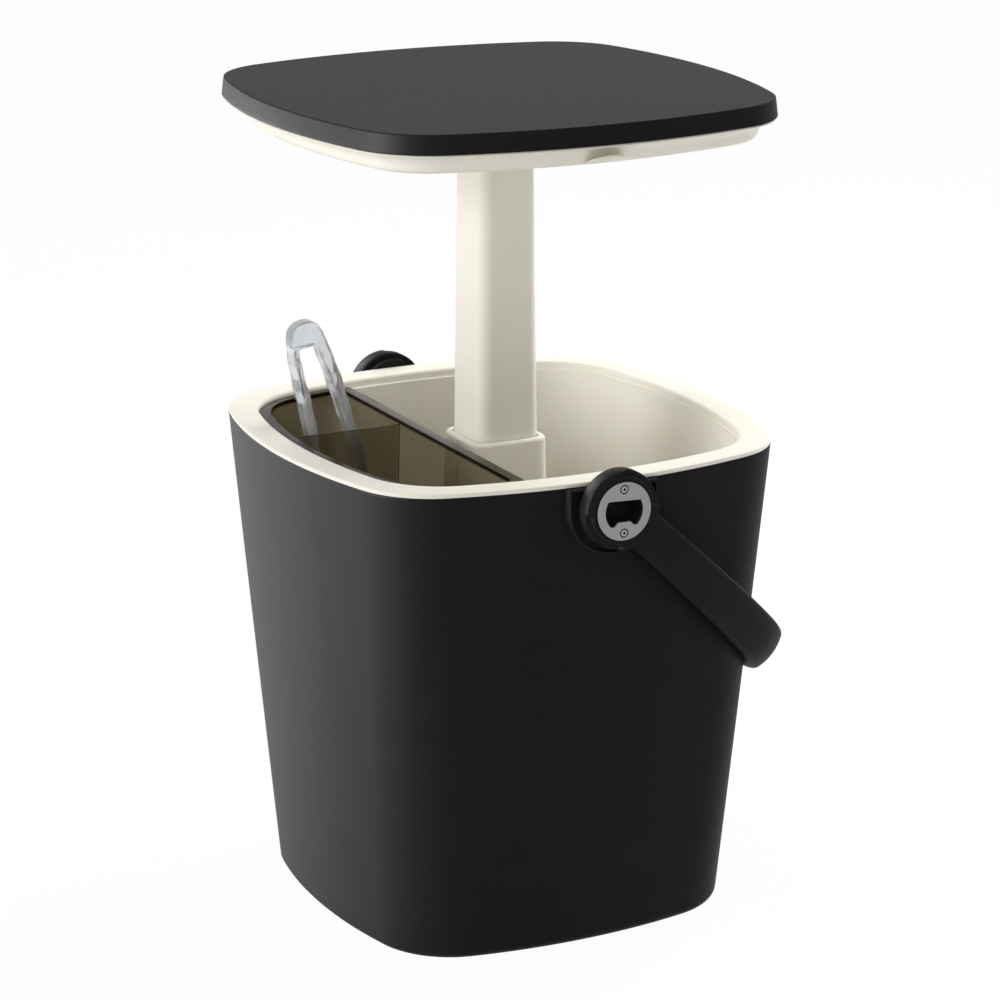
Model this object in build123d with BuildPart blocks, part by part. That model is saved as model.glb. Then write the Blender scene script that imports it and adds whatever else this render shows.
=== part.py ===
"""Insulated tub whose lid is a table on a telescoping column, with a bail, an opener, a caddy and tongs."""

import os
from math import asin, atan2, cos, degrees, hypot, radians, sin, sqrt
from typing import NamedTuple

from build123d import *


class Bow(NamedTuple):
    """A square with bowed sides and round corners, by half width, side radius and corner radius."""

    half: float
    side: float
    corner: float

    def inset(self, wall):
        """Return the parallel outline that lies a wall inside this one."""
        return Bow(self.half - wall, self.side - wall, self.corner - wall)

    def toward(self, other, share):
        """Return the outline that lies a share of the way to another one."""
        return Bow(*(a + (b - a) * share for a, b in zip(self, other)))

    def reach(self, across):
        """Return how far a side stands from the middle, at a distance across it."""
        return self.half - self.side + sqrt(self.side**2 - across**2)


# Driving dimensions in millimetres. +Z is up, the opener faces -Y, the caddy hangs on the -X side,
# and the origin is on the floor under the middle of the tub.
RUN = 0.3  # clear between pieces that move past each other
SEAT = 0.1  # clear between curved pieces that are fixed together

# Tub
RIM_HALF = 170.0
RIM_SIDE_R = 423.0
RIM_CORNER_R = 60.0
BASE_HALF = 140.0
BASE_SIDE_R = 414.0
BASE_CORNER_R = 61.0
SHELL_TOP = 341.0
SHELL_WALL = 2.5
SHELL_FLOOR = 4.0
BASE_EDGE_R = 7.0
PAD_HALF = 112.0
PAD_T = 3.0
PAD_PROUD = 1.5
LIP_T = 3.0
LIP_W = 20.5
OPENING_SIDE_R = 417.0
OPENING_CORNER_R = 56.0
RIM_EDGE_R = 2.5
LEDGE_DROP = 6.0
LEDGE_W = 2.5
LINER_INSET = 18.0  # from the shell's foot to the liner's floor
LINER_SIDE_R = 400.0
LINER_CORNER_R = 46.0
LINER_FLOOR_TOP = 48.0
LINER_WALL = 2.5
LINER_FLOOR_R = 9.0

# Column and the sleeve it slides in
COLUMN_HOLD = 71.0  # length that stays in the sleeve
COLUMN_LOW_HALF = 24.9
COLUMN_HIGH_HALF = 21.7
COLUMN_CORNER_R = 8.0
COLUMN_WALL = 2.6
SLEEVE_DROP = 9.0  # from the rim down to the sleeve's mouth
SLEEVE_WALL = 2.5
SLEEVE_FLARE = 4.0
SLEEVE_CORNER_R = 12.0
SLEEVE_MOUTH_T = 3.0
SLEEVE_FLANGE_W = 13.0
SLEEVE_FLANGE_T = 4.0
SLEEVE_GROOVE_W = 3.0
SLEEVE_GROOVE_H = 34.0
SLEEVE_SCREW_EDGE = 7.0
NUT_PLATE_T = 4.0
GUIDE_H = 15.0
SHOE_WALL = 1.3
SHOE_FLOOR = 4.5
SHOE_PIN_R = 2.0

# Table top
TOP_SIDE_R = 430.0
TOP_CORNER_R = 61.0
TOP_DRAFT = 1.5
TOP_Z = 581.0
TOP_EDGE_H = 13.3
TOP_SKIN = 3.0
TOP_EDGE_R = 2.0
TRAY_SET_BACK = 1.2
TRAY_FLANGE_T = 1.5
TRAY_PLUG_INSET = 9.3
TRAY_RING_W = 11.0
TRAY_PANEL_T = 2.5
TRAY_BEAD_R = 6.0
TRAY_COVE_R = 5.5
TRAY_DEEP = 14.7
SCOOP_R = 13.0  # finger scoop in the tray's side, with a thin shelf under it
SCOOP_INSET = 5.5
SCOOP_SHELF_T = 2.5
SCOOP_WALL = 1.5
TRAY_SCREW_EDGE = 36.5  # from the tray's ring to a screw
TRAY_BOSS_R = 5.0
HEAD_HALF = 40.0
HEAD_T = 4.0
HEAD_PLUG_H = 32.0
HEAD_SCREW_EDGE = 8.0
HEAD_BOSS_H = 6.0

# Handle and its pivots
PIVOT_DROP = 18.0  # from the rim down to the pivot
BRACKET_R = 35.0
BRACKET_PROUD = 4.0
COLLAR_R = 24.0
COLLAR_H = 4.0
SPIGOT_R = 18.0
SPIGOT_FIT = 0.05
WASHER_R = 23.5
WASHER_T = 1.0
EYE_R = 30.0
EYE_FACE_R = 26.5
EYE_CLEAR = 1.2
EYE_T = 8.8
EYE_LEDGE = 3.2
EYE_RING = 4.5
PLATE_SUNK = 1.2
PLATE_R = 20.0
PLATE_T = 2.0
PLATE_SCREW_AT = 15.0
HOLE_R = 14.0
HOLE_UP = 7.7
HOLE_DOWN = 10.0
TOOTH_HALF = 4.6
TOOTH_H = 2.7
CAVITY_DEEP = 9.0
BRACKET_SCREW_X = 24.0
BRACKET_SCREW_DROP = 13.0
BAIL_OUT = 67.0  # how much further the strap reaches than the rim
BAIL_BAR_R = 345.0
BAIL_ARM_R = 435.0
BAIL_CORNER_R = 88.0
BAIL_T = 8.0
BAIL_HUB_HALF = 13.7
BAIL_BAR_HALF = 16.4
BAIL_FLARE_AT = 165.0
BAIL_EDGE_R = 3.0
BAIL_DROP = 43.0  # degrees below level at which the strap lies on the wall

# Caddy and tongs
CADDY_FLANGE_W = 8.5
CADDY_FLANGE_T = 3.0
CADDY_W = 102.0
CADDY_DEPTH = 80.0
CADDY_WALL = 2.0
CADDY_LEAN = 0.2  # share of the tub's own draft that the caddy's side takes
CADDY_BAR_DRAFT = 2.5
CADDY_NOOK_R = 6.0
DIVIDER_Y = 40.0
TONGS_FROM_DIVIDER = 22.0
TONGS_FROM_WALL = 38.5
TONGS_TILT = 9.4
TONGS_LENGTH = 150.5
TONGS_BEND_HALF = 14.5
TONGS_BEND_R = 13.0
TONGS_BOW_HALF = 24.5
TONGS_BOW_AT = 112.0
TONGS_BOW_R = 45.0
TONGS_TIP_HALF = 9.0
TONGS_T = 4.0
TONGS_W = 12.0

# Screws
SCREW_R = 1.9
SCREW_HEAD_R = 3.8
SCREW_HEAD_T = 2.0
SMALL_SCREW_R = 1.3
SMALL_HEAD_R = 2.9
SMALL_HEAD_T = 1.0

# Heights and outlines that follow
RIM = Bow(RIM_HALF, RIM_SIDE_R, RIM_CORNER_R)  # outline of shell and rim at the top
BASE = Bow(BASE_HALF, BASE_SIDE_R, BASE_CORNER_R)  # outline of the shell at its foot
OPENING = Bow(RIM_HALF - LIP_W, OPENING_SIDE_R, OPENING_CORNER_R)  # mouth of the liner, above the ledge
LEDGE = OPENING.inset(LEDGE_W)
LINER_FLOOR = Bow(BASE_HALF - LINER_INSET, LINER_SIDE_R, LINER_CORNER_R)
TOP_LOW = Bow(RIM_HALF, TOP_SIDE_R, TOP_CORNER_R)
TOP_HIGH = TOP_LOW.inset(TOP_DRAFT)
TRAY = TOP_LOW.inset(TRAY_SET_BACK)  # flange of the tray, under the top's edge
RIM_TOP = SHELL_TOP + LIP_T
LEDGE_Z = RIM_TOP - LEDGE_DROP
SLEEVE_TOP = RIM_TOP - SLEEVE_DROP
SLEEVE_BORE_HALF = COLUMN_LOW_HALF + SHOE_WALL + RUN
SLEEVE_TOP_HALF = SLEEVE_BORE_HALF + SLEEVE_WALL
SLEEVE_FOOT_HALF = SLEEVE_TOP_HALF + SLEEVE_FLARE
SLEEVE_FLANGE_HALF = SLEEVE_FOOT_HALF + SLEEVE_FLANGE_W
SLEEVE_SCREW_AT = SLEEVE_FLANGE_HALF - SLEEVE_SCREW_EDGE
HEAD_SCREW_AT = HEAD_HALF - HEAD_SCREW_EDGE
TRAY_SCREW_AT = TRAY.half - TRAY_PLUG_INSET - TRAY_RING_W - TRAY_SCREW_EDGE
CADDY_BAR = CADDY_W - OPENING.half
CADDY_DRAFT = CADDY_LEAN * (RIM_HALF - BASE_HALF)  # on the side that follows the liner
COLUMN_LOW = SLEEVE_TOP - COLUMN_HOLD
TOP_LOW_Z = TOP_Z - TOP_EDGE_H
TRAY_LOW = TOP_LOW_Z - TRAY_DEEP
PANEL_LOW = TOP_LOW_Z - TRAY_PANEL_T
PIVOT_Z = RIM_TOP - PIVOT_DROP
BRACKET_FACE = RIM_HALF + BRACKET_PROUD
EYE_INNER = BRACKET_FACE + EYE_CLEAR
EYE_STEP = EYE_INNER + EYE_T
EYE_FACE = EYE_STEP + EYE_LEDGE
SPIGOT_FACE = EYE_FACE - PLATE_SUNK
BAIL_REACH = RIM_HALF + BAIL_OUT
TONGS_Y = DIVIDER_Y + TONGS_FROM_DIVIDER
TONGS_X = TONGS_FROM_WALL - OPENING.half
COLUMN_HIGH = PANEL_LOW - HEAD_T
TRAVEL = TRAY_LOW - RIM_TOP - RUN
PLUG = TRAY.inset(TRAY_PLUG_INSET)
GUIDE_TOP = SLEEVE_TOP - SLEEVE_MOUTH_T
GUIDE_LOW = GUIDE_TOP - GUIDE_H
SHOE_LOW = COLUMN_LOW - SHOE_FLOOR
SHOE_HIGH = GUIDE_LOW - RUN
FLANGE_TOP = LEDGE_Z + CADDY_FLANGE_T
CADDY_FLOOR = FLANGE_TOP - CADDY_DEPTH + CADDY_WALL


def shell_at(height):
    """Return the outline of the shell's outside at a height."""
    return BASE.toward(RIM, (height - PAD_PROUD) / (SHELL_TOP - PAD_PROUD))


def liner_at(height):
    """Return the outline of the liner's inside at a height below the ledge."""
    return LINER_FLOOR.toward(LEDGE, (height - LINER_FLOOR_TOP) / (LEDGE_Z - LINER_FLOOR_TOP))


def column_half(height):
    """Return the half width of the column's outside at a height, with the table up."""
    share = (height - COLUMN_LOW) / (COLUMN_HIGH - COLUMN_LOW)
    return COLUMN_LOW_HALF + (COLUMN_HIGH_HALF - COLUMN_LOW_HALF) * share


def bowed_face(bow):
    """Draw the face inside a bowed square."""
    middle = bow.half - bow.side
    arm = bow.side - bow.corner
    corner = (middle + sqrt(2 * arm**2 - middle**2)) / 2
    join_x = middle + (corner - middle) * bow.side / arm
    join_y = corner * bow.side / arm
    tip = corner + bow.corner / sqrt(2)
    with BuildLine() as outline:
        for quarter in range(4):
            points = ((join_x, -join_y), (bow.half, 0), (join_x, join_y), (tip, tip), (join_y, join_x))
            turned = [Vector(*point, 0).rotate(Axis.Z, 90 * quarter) for point in points]
            ThreePointArc(turned[0], turned[1], turned[2])
            ThreePointArc(turned[2], turned[3], turned[4])
    make_face(outline.line.edges())


def bowed_prism(bow, low, high, mode=Mode.ADD):
    """Stand a bowed square up between two heights."""
    with BuildSketch(Plane.XY.offset(low)) as foot:
        bowed_face(bow)
    extrude(foot.sketch, amount=high - low, mode=mode)


def bowed_taper(low_bow, low, high_bow, high, mode=Mode.ADD):
    """Blend straight from one bowed square to another above it."""
    with BuildSketch(Plane.XY.offset(low)) as foot:
        bowed_face(low_bow)
    with BuildSketch(Plane.XY.offset(high)) as head:
        bowed_face(high_bow)
    loft([foot.sketch, head.sketch], ruled=True, mode=mode)


def square_taper(low_half, low, high_half, high, corner_r, mode=Mode.ADD):
    """Blend straight from one rounded square to another above it."""
    with BuildSketch(Plane.XY.offset(low)) as foot:
        RectangleRounded(2 * low_half, 2 * low_half, corner_r)
    with BuildSketch(Plane.XY.offset(high)) as head:
        RectangleRounded(2 * high_half, 2 * high_half, corner_r)
    loft([foot.sketch, head.sketch], ruled=True, mode=mode)


def four(at):
    """Return the four corners of a square, by half its width."""
    return [(x, y) for x in (-at, at) for y in (-at, at)]


def rods(points, radius, low, high, mode=Mode.ADD):
    """Stand round rods up at points in plan."""
    with BuildSketch(Plane.XY.offset(low)) as ends:
        with Locations(*points):
            Circle(radius)
    extrude(ends.sketch, amount=high - low, mode=mode)


def hub_plane(side, reach):
    """Return the plane across the pivot axis at a reach, facing outwards (side -1 front, 1 back)."""
    return Plane(origin=(0, side * reach, PIVOT_Z), x_dir=(-side, 0, 0), z_dir=(0, side, 0))


def hub_disc(side, radius, inner, outer, mode=Mode.ADD):
    """Stand a disc on the pivot axis between two reaches from the middle."""
    with BuildSketch(hub_plane(side, inner)) as disc:
        Circle(radius)
    extrude(disc.sketch, amount=outer - inner, mode=mode)


def hub_rods(side, points, radius, inner, outer, mode=Mode.ADD):
    """Stand rods along the pivot axis at points round it."""
    with BuildSketch(hub_plane(side, inner)) as ends:
        with Locations(*points):
            Circle(radius)
    extrude(ends.sketch, amount=outer - inner, mode=mode)


def tub_outside(grow, mode):
    """Work with the whole outside of the tub, grown by a clearance."""
    bowed_taper(BASE.inset(-grow), PAD_PROUD, RIM.inset(-grow), SHELL_TOP, mode=mode)
    bowed_prism(RIM.inset(-grow), SHELL_TOP - 1, RIM_TOP + 1, mode=mode)


PLATE_SCREWS = [(0, PLATE_SCREW_AT), (0, -PLATE_SCREW_AT)]
BRACKET_SCREWS = [(-BRACKET_SCREW_X, -BRACKET_SCREW_DROP), (BRACKET_SCREW_X, -BRACKET_SCREW_DROP)]
BRACKET_SCREW_Z = PIVOT_Z - BRACKET_SCREW_DROP
BRACKET_SCREW_SEAT = shell_at(BRACKET_SCREW_Z).inset(SHELL_WALL).reach(BRACKET_SCREW_X) - 0.4

os.makedirs("parts", exist_ok=True)


# Tub
with BuildPart() as base_pad:
    bowed_prism(Bow(PAD_HALF, BASE.side, BASE.corner), 0, PAD_T)
base_pad.part.label = "base_pad"
export_step(base_pad.part, "parts/base_pad.step")

with BuildPart() as outer_shell:
    bowed_taper(BASE, PAD_PROUD, RIM, SHELL_TOP)
    fillet(outer_shell.edges().group_by(Axis.Z)[0], BASE_EDGE_R)
    floor_z = PAD_PROUD + SHELL_FLOOR
    bowed_taper(
        shell_at(floor_z).inset(SHELL_WALL), floor_z, RIM.inset(SHELL_WALL), SHELL_TOP, mode=Mode.SUBTRACT
    )
    bowed_prism(Bow(PAD_HALF + RUN, BASE.side, BASE.corner), PAD_PROUD, PAD_T, mode=Mode.SUBTRACT)
    with BuildSketch(hub_plane(-1, 0)):
        with Locations(*BRACKET_SCREWS):
            Circle(SCREW_R + RUN)
    extrude(amount=2 * RIM.half, both=True, mode=Mode.SUBTRACT)
outer_shell.part.label = "outer_shell"
export_step(outer_shell.part, "parts/outer_shell.step")

liner_low = LINER_FLOOR_TOP - LINER_WALL
with BuildPart() as inner_liner:
    bowed_taper(liner_at(liner_low).inset(-LINER_WALL), liner_low, LEDGE.inset(-LINER_WALL), LEDGE_Z)
    bowed_prism(OPENING.inset(-LINER_WALL), LEDGE_Z - LINER_WALL, RIM_TOP)
    bowed_prism(RIM, SHELL_TOP, RIM_TOP)
    bowed_prism(OPENING, LEDGE_Z, RIM_TOP, mode=Mode.SUBTRACT)
    fillet(inner_liner.faces().sort_by(Axis.Z)[-1].inner_wires().edges(), RIM_EDGE_R)
    bowed_taper(LINER_FLOOR, LINER_FLOOR_TOP, LEDGE, LEDGE_Z, mode=Mode.SUBTRACT)
    floor_span = (LINER_FLOOR_TOP - 0.1, LINER_FLOOR_TOP + 0.1)
    fillet(inner_liner.edges().filter_by_position(Axis.Z, *floor_span), LINER_FLOOR_R)
    rods(four(SLEEVE_SCREW_AT), SCREW_R + RUN, liner_low, LINER_FLOOR_TOP, mode=Mode.SUBTRACT)
inner_liner.part.label = "inner_liner"
export_step(inner_liner.part, "parts/inner_liner.step")

with BuildPart() as insulation:
    foam_low = PAD_PROUD + SHELL_FLOOR
    foam_high = SHELL_TOP - SEAT
    foam_wall = SHELL_WALL + SEAT
    foam_foot = shell_at(foam_low).inset(foam_wall)
    bowed_taper(foam_foot, foam_low, shell_at(foam_high).inset(foam_wall), foam_high)
    liner_wall = LINER_WALL + SEAT
    bowed_taper(
        liner_at(liner_low).inset(-liner_wall),
        liner_low,
        LEDGE.inset(-liner_wall),
        LEDGE_Z,
        mode=Mode.SUBTRACT,
    )
    bowed_prism(OPENING.inset(-liner_wall), LEDGE_Z - liner_wall, SHELL_TOP, mode=Mode.SUBTRACT)
    with Locations((0, 0, BRACKET_SCREW_Z)):
        Box(2 * (BRACKET_SCREW_X + 7), 2 * RIM.half, 2 * (SHELL_TOP - BRACKET_SCREW_Z), mode=Mode.SUBTRACT)
    with Locations((0, 0, liner_low - NUT_PLATE_T / 2)):
        Box(2 * SLEEVE_FLANGE_HALF + 1, 2 * SLEEVE_FLANGE_HALF + 1, NUT_PLATE_T, mode=Mode.SUBTRACT)
    rods(four(SLEEVE_SCREW_AT), 3.0, liner_low - NUT_PLATE_T - 5, liner_low, mode=Mode.SUBTRACT)
insulation.part.label = "insulation"
export_step(insulation.part, "parts/insulation.step")


# Sleeve
with BuildPart() as column_sleeve:
    square_taper(SLEEVE_FOOT_HALF, LINER_FLOOR_TOP, SLEEVE_TOP_HALF, SLEEVE_TOP, SLEEVE_CORNER_R)
    fillet(column_sleeve.edges().group_by(Axis.Z)[-1], SLEEVE_MOUTH_T - 0.5)
    with BuildSketch(Plane.XY.offset(LINER_FLOOR_TOP)):
        RectangleRounded(2 * SLEEVE_FLANGE_HALF, 2 * SLEEVE_FLANGE_HALF, SLEEVE_CORNER_R)
    extrude(amount=SLEEVE_FLANGE_T)
    with BuildSketch(Plane.XY.offset(LINER_FLOOR_TOP)):
        RectangleRounded(2 * SLEEVE_BORE_HALF, 2 * SLEEVE_BORE_HALF, SLEEVE_CORNER_R - 1)
    extrude(amount=GUIDE_TOP - LINER_FLOOR_TOP, mode=Mode.SUBTRACT)
    mouth_half = column_half(GUIDE_TOP) + 0.4
    with BuildSketch(Plane.XY.offset(GUIDE_TOP)):
        RectangleRounded(2 * mouth_half, 2 * mouth_half, COLUMN_CORNER_R)
    extrude(amount=SLEEVE_MOUTH_T, mode=Mode.SUBTRACT)
    with Locations((-SLEEVE_TOP_HALF - 3.8, 0, SLEEVE_TOP - 3 - SLEEVE_GROOVE_H / 2)):
        Box(10, SLEEVE_GROOVE_W, SLEEVE_GROOVE_H, mode=Mode.SUBTRACT)
    rods(
        four(SLEEVE_SCREW_AT),
        SCREW_R + RUN,
        LINER_FLOOR_TOP,
        LINER_FLOOR_TOP + SLEEVE_FLANGE_T,
        mode=Mode.SUBTRACT,
    )
column_sleeve.part.label = "column_sleeve"
export_step(column_sleeve.part, "parts/column_sleeve.step")

with BuildPart() as sleeve_nut_plate:
    with BuildSketch(Plane.XY.offset(liner_low - NUT_PLATE_T)):
        RectangleRounded(2 * SLEEVE_FLANGE_HALF, 2 * SLEEVE_FLANGE_HALF, SLEEVE_CORNER_R)
        with Locations(*four(SLEEVE_SCREW_AT)):
            Circle(SCREW_R + SEAT, mode=Mode.SUBTRACT)
    extrude(amount=NUT_PLATE_T)
sleeve_nut_plate.part.label = "sleeve_nut_plate"
export_step(sleeve_nut_plate.part, "parts/sleeve_nut_plate.step")

with BuildPart() as sleeve_screws:
    seat_z = LINER_FLOOR_TOP + SLEEVE_FLANGE_T
    rods(four(SLEEVE_SCREW_AT), SCREW_HEAD_R, seat_z, seat_z + SCREW_HEAD_T)
    rods(four(SLEEVE_SCREW_AT), SCREW_R, liner_low - NUT_PLATE_T - 2, seat_z)
sleeve_screws.part.label = "sleeve_screws"
export_step(sleeve_screws.part, "parts/sleeve_screws.step")

with BuildPart() as sleeve_guide:
    guide_half = column_half(GUIDE_LOW) + 0.35
    with BuildSketch(Plane.XY.offset(GUIDE_LOW)):
        outer_half = SLEEVE_BORE_HALF - SEAT
        RectangleRounded(2 * outer_half, 2 * outer_half, SLEEVE_CORNER_R - 1.1)
        RectangleRounded(2 * guide_half, 2 * guide_half, COLUMN_CORNER_R, mode=Mode.SUBTRACT)
    extrude(amount=GUIDE_H)
sleeve_guide.part.label = "sleeve_guide"
export_step(sleeve_guide.part, "parts/sleeve_guide.step")


# Column
shoe_pin_z = (COLUMN_LOW + SHOE_HIGH) / 2


def cross_rods(radius, inner, outer, mode=Mode.ADD):
    """Lay a rod out through each side of the column's foot."""
    for turn in range(4):
        outward = Vector(1, 0, 0).rotate(Axis.Z, 90 * turn)
        with BuildSketch(Plane(origin=outward * inner + Vector(0, 0, shoe_pin_z), z_dir=outward)) as end:
            Circle(radius)
        extrude(end.sketch, amount=outer - inner, mode=mode)


with BuildPart() as column_tube:
    square_taper(COLUMN_LOW_HALF, COLUMN_LOW, COLUMN_HIGH_HALF, COLUMN_HIGH, COLUMN_CORNER_R)
    square_taper(
        COLUMN_LOW_HALF - COLUMN_WALL,
        COLUMN_LOW,
        COLUMN_HIGH_HALF - COLUMN_WALL,
        COLUMN_HIGH,
        COLUMN_CORNER_R - COLUMN_WALL,
        mode=Mode.SUBTRACT,
    )
    cross_rods(SHOE_PIN_R + SEAT, COLUMN_LOW_HALF - 5, COLUMN_LOW_HALF + 5, mode=Mode.SUBTRACT)
column_tube.part.label = "column_tube"
export_step(column_tube.part, "parts/column_tube.step")

shoe_half = SLEEVE_BORE_HALF - RUN
with BuildPart() as column_shoe:
    with BuildSketch(Plane.XY.offset(SHOE_LOW)):
        RectangleRounded(2 * shoe_half, 2 * shoe_half, SLEEVE_CORNER_R - 1.3)
    extrude(amount=SHOE_HIGH - SHOE_LOW)
    square_taper(
        COLUMN_LOW_HALF + SEAT,
        COLUMN_LOW,
        column_half(SHOE_HIGH) + SEAT,
        SHOE_HIGH,
        COLUMN_CORNER_R,
        mode=Mode.SUBTRACT,
    )
    cross_rods(SHOE_PIN_R + SEAT, COLUMN_LOW_HALF - 5, COLUMN_LOW_HALF + 5, mode=Mode.SUBTRACT)
column_shoe.part.label = "column_shoe"
export_step(column_shoe.part, "parts/column_shoe.step")

with BuildPart() as shoe_pins:
    cross_rods(SHOE_PIN_R, COLUMN_LOW_HALF - 4, shoe_half - SEAT)
shoe_pins.part.label = "shoe_pins"
export_step(shoe_pins.part, "parts/shoe_pins.step")

with BuildPart() as column_head:
    plug_half = column_half(COLUMN_HIGH) - COLUMN_WALL - SEAT
    with BuildSketch(Plane.XY.offset(COLUMN_HIGH)):
        RectangleRounded(2 * HEAD_HALF, 2 * HEAD_HALF, COLUMN_CORNER_R)
        with Locations(*four(HEAD_SCREW_AT)):
            Circle(SCREW_R + SEAT, mode=Mode.SUBTRACT)
    extrude(amount=HEAD_T)
    with BuildSketch(Plane.XY.offset(COLUMN_HIGH - HEAD_PLUG_H)):
        RectangleRounded(2 * plug_half, 2 * plug_half, COLUMN_CORNER_R - COLUMN_WALL)
        RectangleRounded(2 * plug_half - 6, 2 * plug_half - 6, 2.0, mode=Mode.SUBTRACT)
    extrude(amount=HEAD_PLUG_H)
column_head.part.label = "column_head"
export_step(column_head.part, "parts/column_head.step")

with BuildPart() as head_screws:
    rods(four(HEAD_SCREW_AT), SCREW_HEAD_R, COLUMN_HIGH - SCREW_HEAD_T, COLUMN_HIGH)
    rods(four(HEAD_SCREW_AT), SCREW_R, COLUMN_HIGH, TOP_LOW_Z + HEAD_BOSS_H - 1)
head_screws.part.label = "head_screws"
export_step(head_screws.part, "parts/head_screws.step")


# Table top
top_hollow = TOP_LOW.inset(TOP_SKIN + 1)
with BuildPart() as table_top:
    bowed_taper(TOP_LOW, TOP_LOW_Z, TOP_HIGH, TOP_Z)
    fillet(table_top.edges().group_by(Axis.Z)[-1], TOP_EDGE_R)
    bowed_prism(top_hollow, TOP_LOW_Z, TOP_Z - TOP_SKIN, mode=Mode.SUBTRACT)
    rods(four(TRAY_SCREW_AT), TRAY_BOSS_R, TOP_LOW_Z, TOP_Z - TOP_SKIN)
    rods(four(TRAY_SCREW_AT), SCREW_R + SEAT, TOP_LOW_Z, TOP_Z - TOP_SKIN - 1.5, mode=Mode.SUBTRACT)
table_top.part.label = "table_top"
export_step(table_top.part, "parts/table_top.step")

flange_low = TOP_LOW_Z - TRAY_FLANGE_T
with BuildPart() as lid_tray:
    bowed_prism(PLUG, TRAY_LOW, TOP_LOW_Z)
    bowed_prism(TRAY, flange_low, TOP_LOW_Z)
    fillet(lid_tray.edges().group_by(Axis.Z)[0], TRAY_BEAD_R)
    cove_edges = lid_tray.edges().filter_by_position(Axis.Z, flange_low - 0.1, flange_low + 0.1)
    fillet(cove_edges.filter_by(lambda edge: hypot(*tuple(edge.center())[:2]) < PLUG.half + 3), TRAY_COVE_R)
    bowed_prism(PLUG.inset(TRAY_RING_W), TRAY_LOW, PANEL_LOW, mode=Mode.SUBTRACT)
    scoop_y = SCOOP_INSET - PLUG.half
    scoop_back = SCOOP_R + SCOOP_WALL
    rods([(0, scoop_back + 1 - PLUG.half)], scoop_back, TRAY_LOW, PANEL_LOW)
    shelf_rise = SCOOP_SHELF_T + 1
    with Locations((0, scoop_y, TRAY_LOW - 1)):
        shelf_angle = degrees(asin(shelf_rise / SCOOP_R))
        Sphere(SCOOP_R, shelf_angle, align=(Align.CENTER, Align.CENTER, Align.NONE), mode=Mode.SUBTRACT)
    rods(four(HEAD_SCREW_AT), TRAY_BOSS_R, TOP_LOW_Z, TOP_LOW_Z + HEAD_BOSS_H)
    rods(four(HEAD_SCREW_AT), SCREW_R + SEAT, PANEL_LOW, TOP_LOW_Z + HEAD_BOSS_H, mode=Mode.SUBTRACT)
    rods(four(TRAY_SCREW_AT), SCREW_R + SEAT, PANEL_LOW, TOP_LOW_Z, mode=Mode.SUBTRACT)
lid_tray.part.label = "lid_tray"
export_step(lid_tray.part, "parts/lid_tray.step")

with BuildPart() as tray_screws:
    rods(four(TRAY_SCREW_AT), SCREW_HEAD_R, PANEL_LOW - SCREW_HEAD_T, PANEL_LOW)
    rods(four(TRAY_SCREW_AT), SCREW_R, PANEL_LOW, TOP_Z - TOP_SKIN - 3)
tray_screws.part.label = "tray_screws"
export_step(tray_screws.part, "parts/tray_screws.step")

with BuildPart() as lid_core:
    bowed_prism(top_hollow.inset(0.5), TOP_LOW_Z, TOP_Z - TOP_SKIN)
    core_holes = four(TRAY_SCREW_AT) + four(HEAD_SCREW_AT)
    rods(core_holes, TRAY_BOSS_R + 0.5, TOP_LOW_Z, TOP_Z - TOP_SKIN, mode=Mode.SUBTRACT)
lid_core.part.label = "lid_core"
export_step(lid_core.part, "parts/lid_core.step")


# Pivots
def bracket(side):
    """Build a pad that fits the tub's wall and carries the spigot for one eye of the handle."""
    with BuildPart() as made:
        with BuildSketch(hub_plane(side, BRACKET_FACE)):
            Circle(BRACKET_R)
            rise = RIM_TOP - 1 - PIVOT_Z
            with Locations((0, rise / 2)):
                Rectangle(2 * BRACKET_R, rise)
            with Locations((0, rise + BRACKET_R)):
                Rectangle(2 * BRACKET_R, 2 * BRACKET_R, mode=Mode.SUBTRACT)
        extrude(amount=-(BRACKET_FACE - BASE.half))
        tub_outside(SEAT, Mode.SUBTRACT)
        hub_disc(side, COLLAR_R, BRACKET_FACE, BRACKET_FACE + COLLAR_H)
        hub_disc(side, SPIGOT_R, BRACKET_FACE, SPIGOT_FACE)
        hub_rods(side, PLATE_SCREWS, SMALL_SCREW_R + SEAT, SPIGOT_FACE - 8, SPIGOT_FACE, mode=Mode.SUBTRACT)
        hub_rods(side, BRACKET_SCREWS, SCREW_R + SEAT, BASE.half, BRACKET_FACE - 1, mode=Mode.SUBTRACT)
    return made


with BuildPart() as pivot_bracket_front:
    add(bracket(-1).part)
    with BuildSketch(hub_plane(-1, SPIGOT_FACE)):
        Circle(HOLE_R + 1.5)
        Rectangle(4 * HOLE_R, 2 * (PLATE_SCREW_AT - 3.5), mode=Mode.INTERSECT)
    extrude(amount=-CAVITY_DEEP, mode=Mode.SUBTRACT)
pivot_bracket_front.part.label = "pivot_bracket_front"
export_step(pivot_bracket_front.part, "parts/pivot_bracket_front.step")

with BuildPart() as pivot_bracket_back:
    add(bracket(1).part)
pivot_bracket_back.part.label = "pivot_bracket_back"
export_step(pivot_bracket_back.part, "parts/pivot_bracket_back.step")

with BuildPart() as bracket_screws:
    for side in (-1, 1):
        hub_rods(
            side, BRACKET_SCREWS, SCREW_HEAD_R, BRACKET_SCREW_SEAT - SCREW_HEAD_T, BRACKET_SCREW_SEAT
        )
        hub_rods(side, BRACKET_SCREWS, SCREW_R, BRACKET_SCREW_SEAT, BRACKET_FACE - 1.5)
bracket_screws.part.label = "bracket_screws"
export_step(bracket_screws.part, "parts/bracket_screws.step")


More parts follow.
